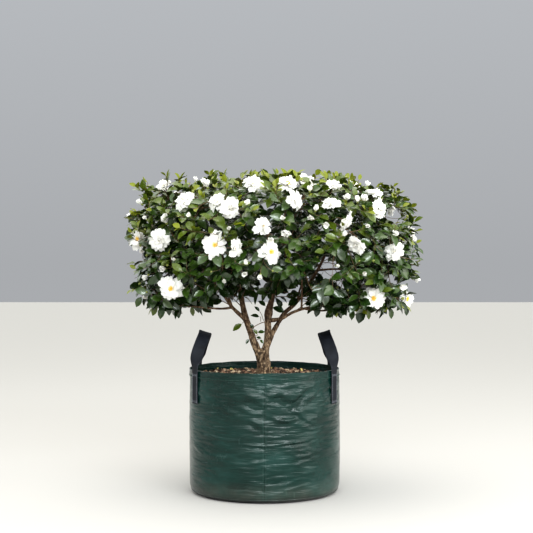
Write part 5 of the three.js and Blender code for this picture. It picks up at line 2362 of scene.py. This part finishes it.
@dataclass
class PottingMix:
    """The bag's filling: a rough bed with bark chips strewn over it.

    Attributes:
        radius: The bed's radius.
        level: Its height.
        chips: How many chips lie on it.
        steps: Faces round the bed.
        fallen: Places and turns of the yellow bits of leaf.
    """

    radius: float = 246.0
    level: float = SOIL_LEVEL
    chips: int = 2200
    steps: int = 96
    fallen: tuple[Triple, ...] = (
        (-166, 150, 0.4), (-118, 160, 1.2), (-108, 148, 2.6), (20, 172, 0.8), (128, 130, 2.0),
        (-60, -140, 1.0),
    )

    def relief(self, x: float, y: float) -> float:
        """Works out how far the bed stands over its level.

        Args:
            x: The place's x.
            y: Its y.

        Returns:
            The distance in millimetres.
        """
        mound = 3.0 * exp(-(((x + 2) ** 2 + y**2) / 60**2))
        wide = noise.noise(Vector((x * 0.02, y * 0.02, 0)))
        return 2.2 * wide + 1.6 * noise.noise(Vector((x, y, 9)) * 0.09) + mound

    def build(self) -> list[Piece]:
        """Builds the bed and its chips.

        Returns:
            The pieces.
        """
        top = [(r, self.level - 2) for r in (0.0, *np.arange(8, self.radius - 1, 8.0))]
        side = [(self.radius, self.level - 4), (self.radius, 26.0), (self.radius - 22, 4.0), (0.0, 4.0)]
        bm = spun(top + side, self.steps)
        for vertex in bm.verts:
            if vertex.co.z > self.level - 3:
                vertex.co.z += self.relief(vertex.co.x, vertex.co.y)
        bed = piece_of(mesh_of(bm), "potting_mix_bed", MIX_BED.material())
        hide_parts("potting_mix")
        return [bed, *self.strew()]

    def chip(self, seed: int) -> Stamp:
        """Splits a chip of bark, 1 long.

        Args:
            seed: The number that picks its shape.

        Returns:
            The chip.
        """
        random = Seeded(seed)
        bm = bmesh.new()
        ops.create_cube(bm, size=1)
        long_edges = [e for e in bm.edges if abs(e.verts[0].co.x - e.verts[1].co.x) > 0.5]
        ops.subdivide_edges(bm, edges=long_edges, cuts=2)
        ops.scale(bm, vec=(1, random.between(0.4, 0.62), random.between(0.14, 0.28)), verts=bm.verts)
        for vertex in bm.verts:
            vertex.co += Vector([random.between(-reach, reach) for reach in (0.09, 0.09, 0.04)])
            vertex.co.z += 0.1 * vertex.co.x * random.between(0, 1)
        return stamp_of(bm)

    def strew(self) -> list[Piece]:
        """Strews the chips, clear of the trunk's foot and inside the bag.

        Returns:
            One piece for each of the chips' finishes.
        """
        random = Seeded(404)
        stamps = [self.chip(70 + k) for k in range(6)]
        heaps = [Joined() for _ in CHIP_FINISHES]
        for _ in range(self.chips):
            length = 7 + 16 * random.unit() ** 2
            r = (self.radius - 0.62 * length - 2) * sqrt(random.unit())
            around = random.between(0, 2 * pi)
            x, y = r * cos(around), r * sin(around)
            if hypot(x + 2, y) < 30 + 0.5 * length:
                continue
            turn = Matrix.Rotation(random.between(0, 2 * pi), 3, "Z")
            turn @= Matrix.Rotation(random.between(-0.45, 0.45), 3, "Y")
            turn @= Matrix.Rotation(random.between(-0.5, 0.5), 3, "X")
            z = self.level - 2 + self.relief(x, y) + random.between(0, 4.5)
            dealt = random.unit()
            heap = heaps[0 if dealt < 0.5 else 1 if dealt < 0.82 else 2]
            heap.add(stamps[random.pick(6)], (np.array(turn) * length)[None], np.array([[x, y, z]]))
        fallen = Joined()
        for x, y, turned_by in self.fallen:
            turn = Matrix.Rotation(turned_by, 3, "Z") @ Matrix.Rotation(-0.7, 3, "Y")
            place = np.array([[x, y, self.level + self.relief(x, y) + 5]])
            fallen.add(stamps[0], (np.array(turn) * (14, 11, 5))[None], place)
        heaps.append(fallen)
        pieces = []
        for heap, finish in zip(heaps, (*CHIP_FINISHES, FALLEN_LEAF)):
            piece = heap.piece(finish.name, finish.material(), crease=25)
            pieces.append(piece)
        return pieces


# Studio


@dataclass
class Studio:
    """A plain pale floor, soft light and a camera where the photograph was taken from.

    Attributes:
        camera_place: The camera's place in metres.
        tilt: How far it looks down, in degrees.
        lens: Its focal length on a 36 mm sensor.
        floor_size: The floor's side in metres.
    """

    camera_place: Triple = (0.0063, -4.0, 0.752)
    tilt: float = 0.09
    lens: float = 81.05
    floor_size: float = 40.0

    def build(self) -> None:
        """Builds the floor, the light and the camera."""
        scene = bpy.context.scene
        bm = bmesh.new()
        ops.create_grid(bm, x_segments=2, y_segments=2, size=self.floor_size / 2)
        mesh = plain_mesh(bm)
        floor = bpy.data.objects.new("floor", mesh)
        scene.collection.objects.link(floor)
        graph = Graph("pale_floor")
        mesh.materials.append(graph.finish((0.42, 0.405, 0.395), 0.9))
        self.sky(scene)
        self.lamp("front_light", (0.5, -4.4, 1.75), (7.0, 2.2), 66, (0.98, 0.98, 0.96))
        self.lamp("sheen_light", (1.1, -4.0, 2.7), (5.0, 0.7), 195, (0.92, 0.98, 1.0))
        self.lamp("side_light", (3.2, -1.4, 1.1), (1.8, 1.8), 34, (1.0, 0.98, 0.94))
        self.lamp("top_light", (-0.4, 0.0, 4.0), (3.0, 2.4), 50, (1.0, 0.96, 0.88))
        scene.view_settings.view_transform = "Standard"
        scene.view_settings.look = "Medium High Contrast"
        camera = bpy.data.cameras.new("camera")
        camera.lens = self.lens
        camera.sensor_width = 36
        seen = bpy.data.objects.new("camera", camera)
        seen.location = self.camera_place
        seen.rotation_euler = (radians(90 - self.tilt), 0, 0)
        scene.collection.objects.link(seen)
        scene.camera = seen

    @staticmethod
    def sky(scene: bpy.types.Scene) -> None:
        """Makes an overcast sky, brightest overhead.

        Args:
            scene: The scene that it is over.
        """
        world = bpy.data.worlds.new("overcast_sky")
        world.use_nodes = True
        nodes, links = world.node_tree.nodes, world.node_tree.links
        split = nodes.new("ShaderNodeSeparateXYZ")
        links.new(nodes.new("ShaderNodeTexCoord").outputs["Generated"], split.inputs[0])
        ramp = nodes.new("ShaderNodeValToRGB")
        links.new(split.outputs[2], ramp.inputs[0])
        set_stops(ramp.color_ramp, (
            (0.0, (0.36, 0.37, 0.385)), (0.22, (0.42, 0.435, 0.455)), (0.42, (1.98, 2.08, 2.08)),
            (0.6, (1.64, 1.68, 1.6)), (0.85, (1.24, 1.24, 1.16)),
        ))
        back = nodes["Background"]
        links.new(ramp.outputs[0], back.inputs[0])
        back.inputs[1].default_value = 1.0
        scene.world = world

    def lamp(self, name: str, place: Triple, size: tuple[float, float], power: float,
             colour: Triple) -> None:
        """Hangs an oblong area light that points at the crown.

        Args:
            name: The light's name.
            place: Its place in metres.
            size: Its width and height in metres.
            power: Its power in watts.
            colour: Its colour.
        """
        light = bpy.data.lights.new(name, "AREA")
        light.shape = "RECTANGLE"
        light.size, light.size_y = size
        light.energy = power
        light.color = colour
        lamp = bpy.data.objects.new(name, light)
        lamp.location = place
        aim = Vector((0, 0, 0.6)) - Vector(place)
        lamp.rotation_euler = aim.to_track_quat("-Z", "Y").to_euler()
        bpy.context.scene.collection.objects.link(lamp)


def report(name: str, build: Callable[[], object]) -> object:
    """Builds one part of the object, and says so.

    Args:
        name: The part's name.
        build: What builds it.

    Returns:
        What was built.
    """
    LOG.info("building %s", name)
    return build()


def main() -> None:
    """Builds the bag, the wood, the crown and the studio."""
    logging.basicConfig(level=logging.INFO, format="%(name)s: %(message)s")
    report("planter bag", PlanterBag().build)
    report("potting mix", PottingMix().build)
    for side in (-1, 1):
        report("handle", WebHandle(side).build)
    report("trunk and boughs", Wood().build)
    growth = report("growth", Growth)
    LOG.info("%d leaves, %d twigs, %d blooms", len(growth.leaves.feet), len(growth.twigs), len(growth.blooms))
    pieces = report("foliage", lambda: Foliage().build(growth))
    pieces += report("blossom", lambda: Blossom().build(growth))
    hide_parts("foliage_in_fork", *(mass.name for mass in MASSES))
    report("studio", Studio().build)
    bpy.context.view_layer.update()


if __name__ == "__main__":
    main()
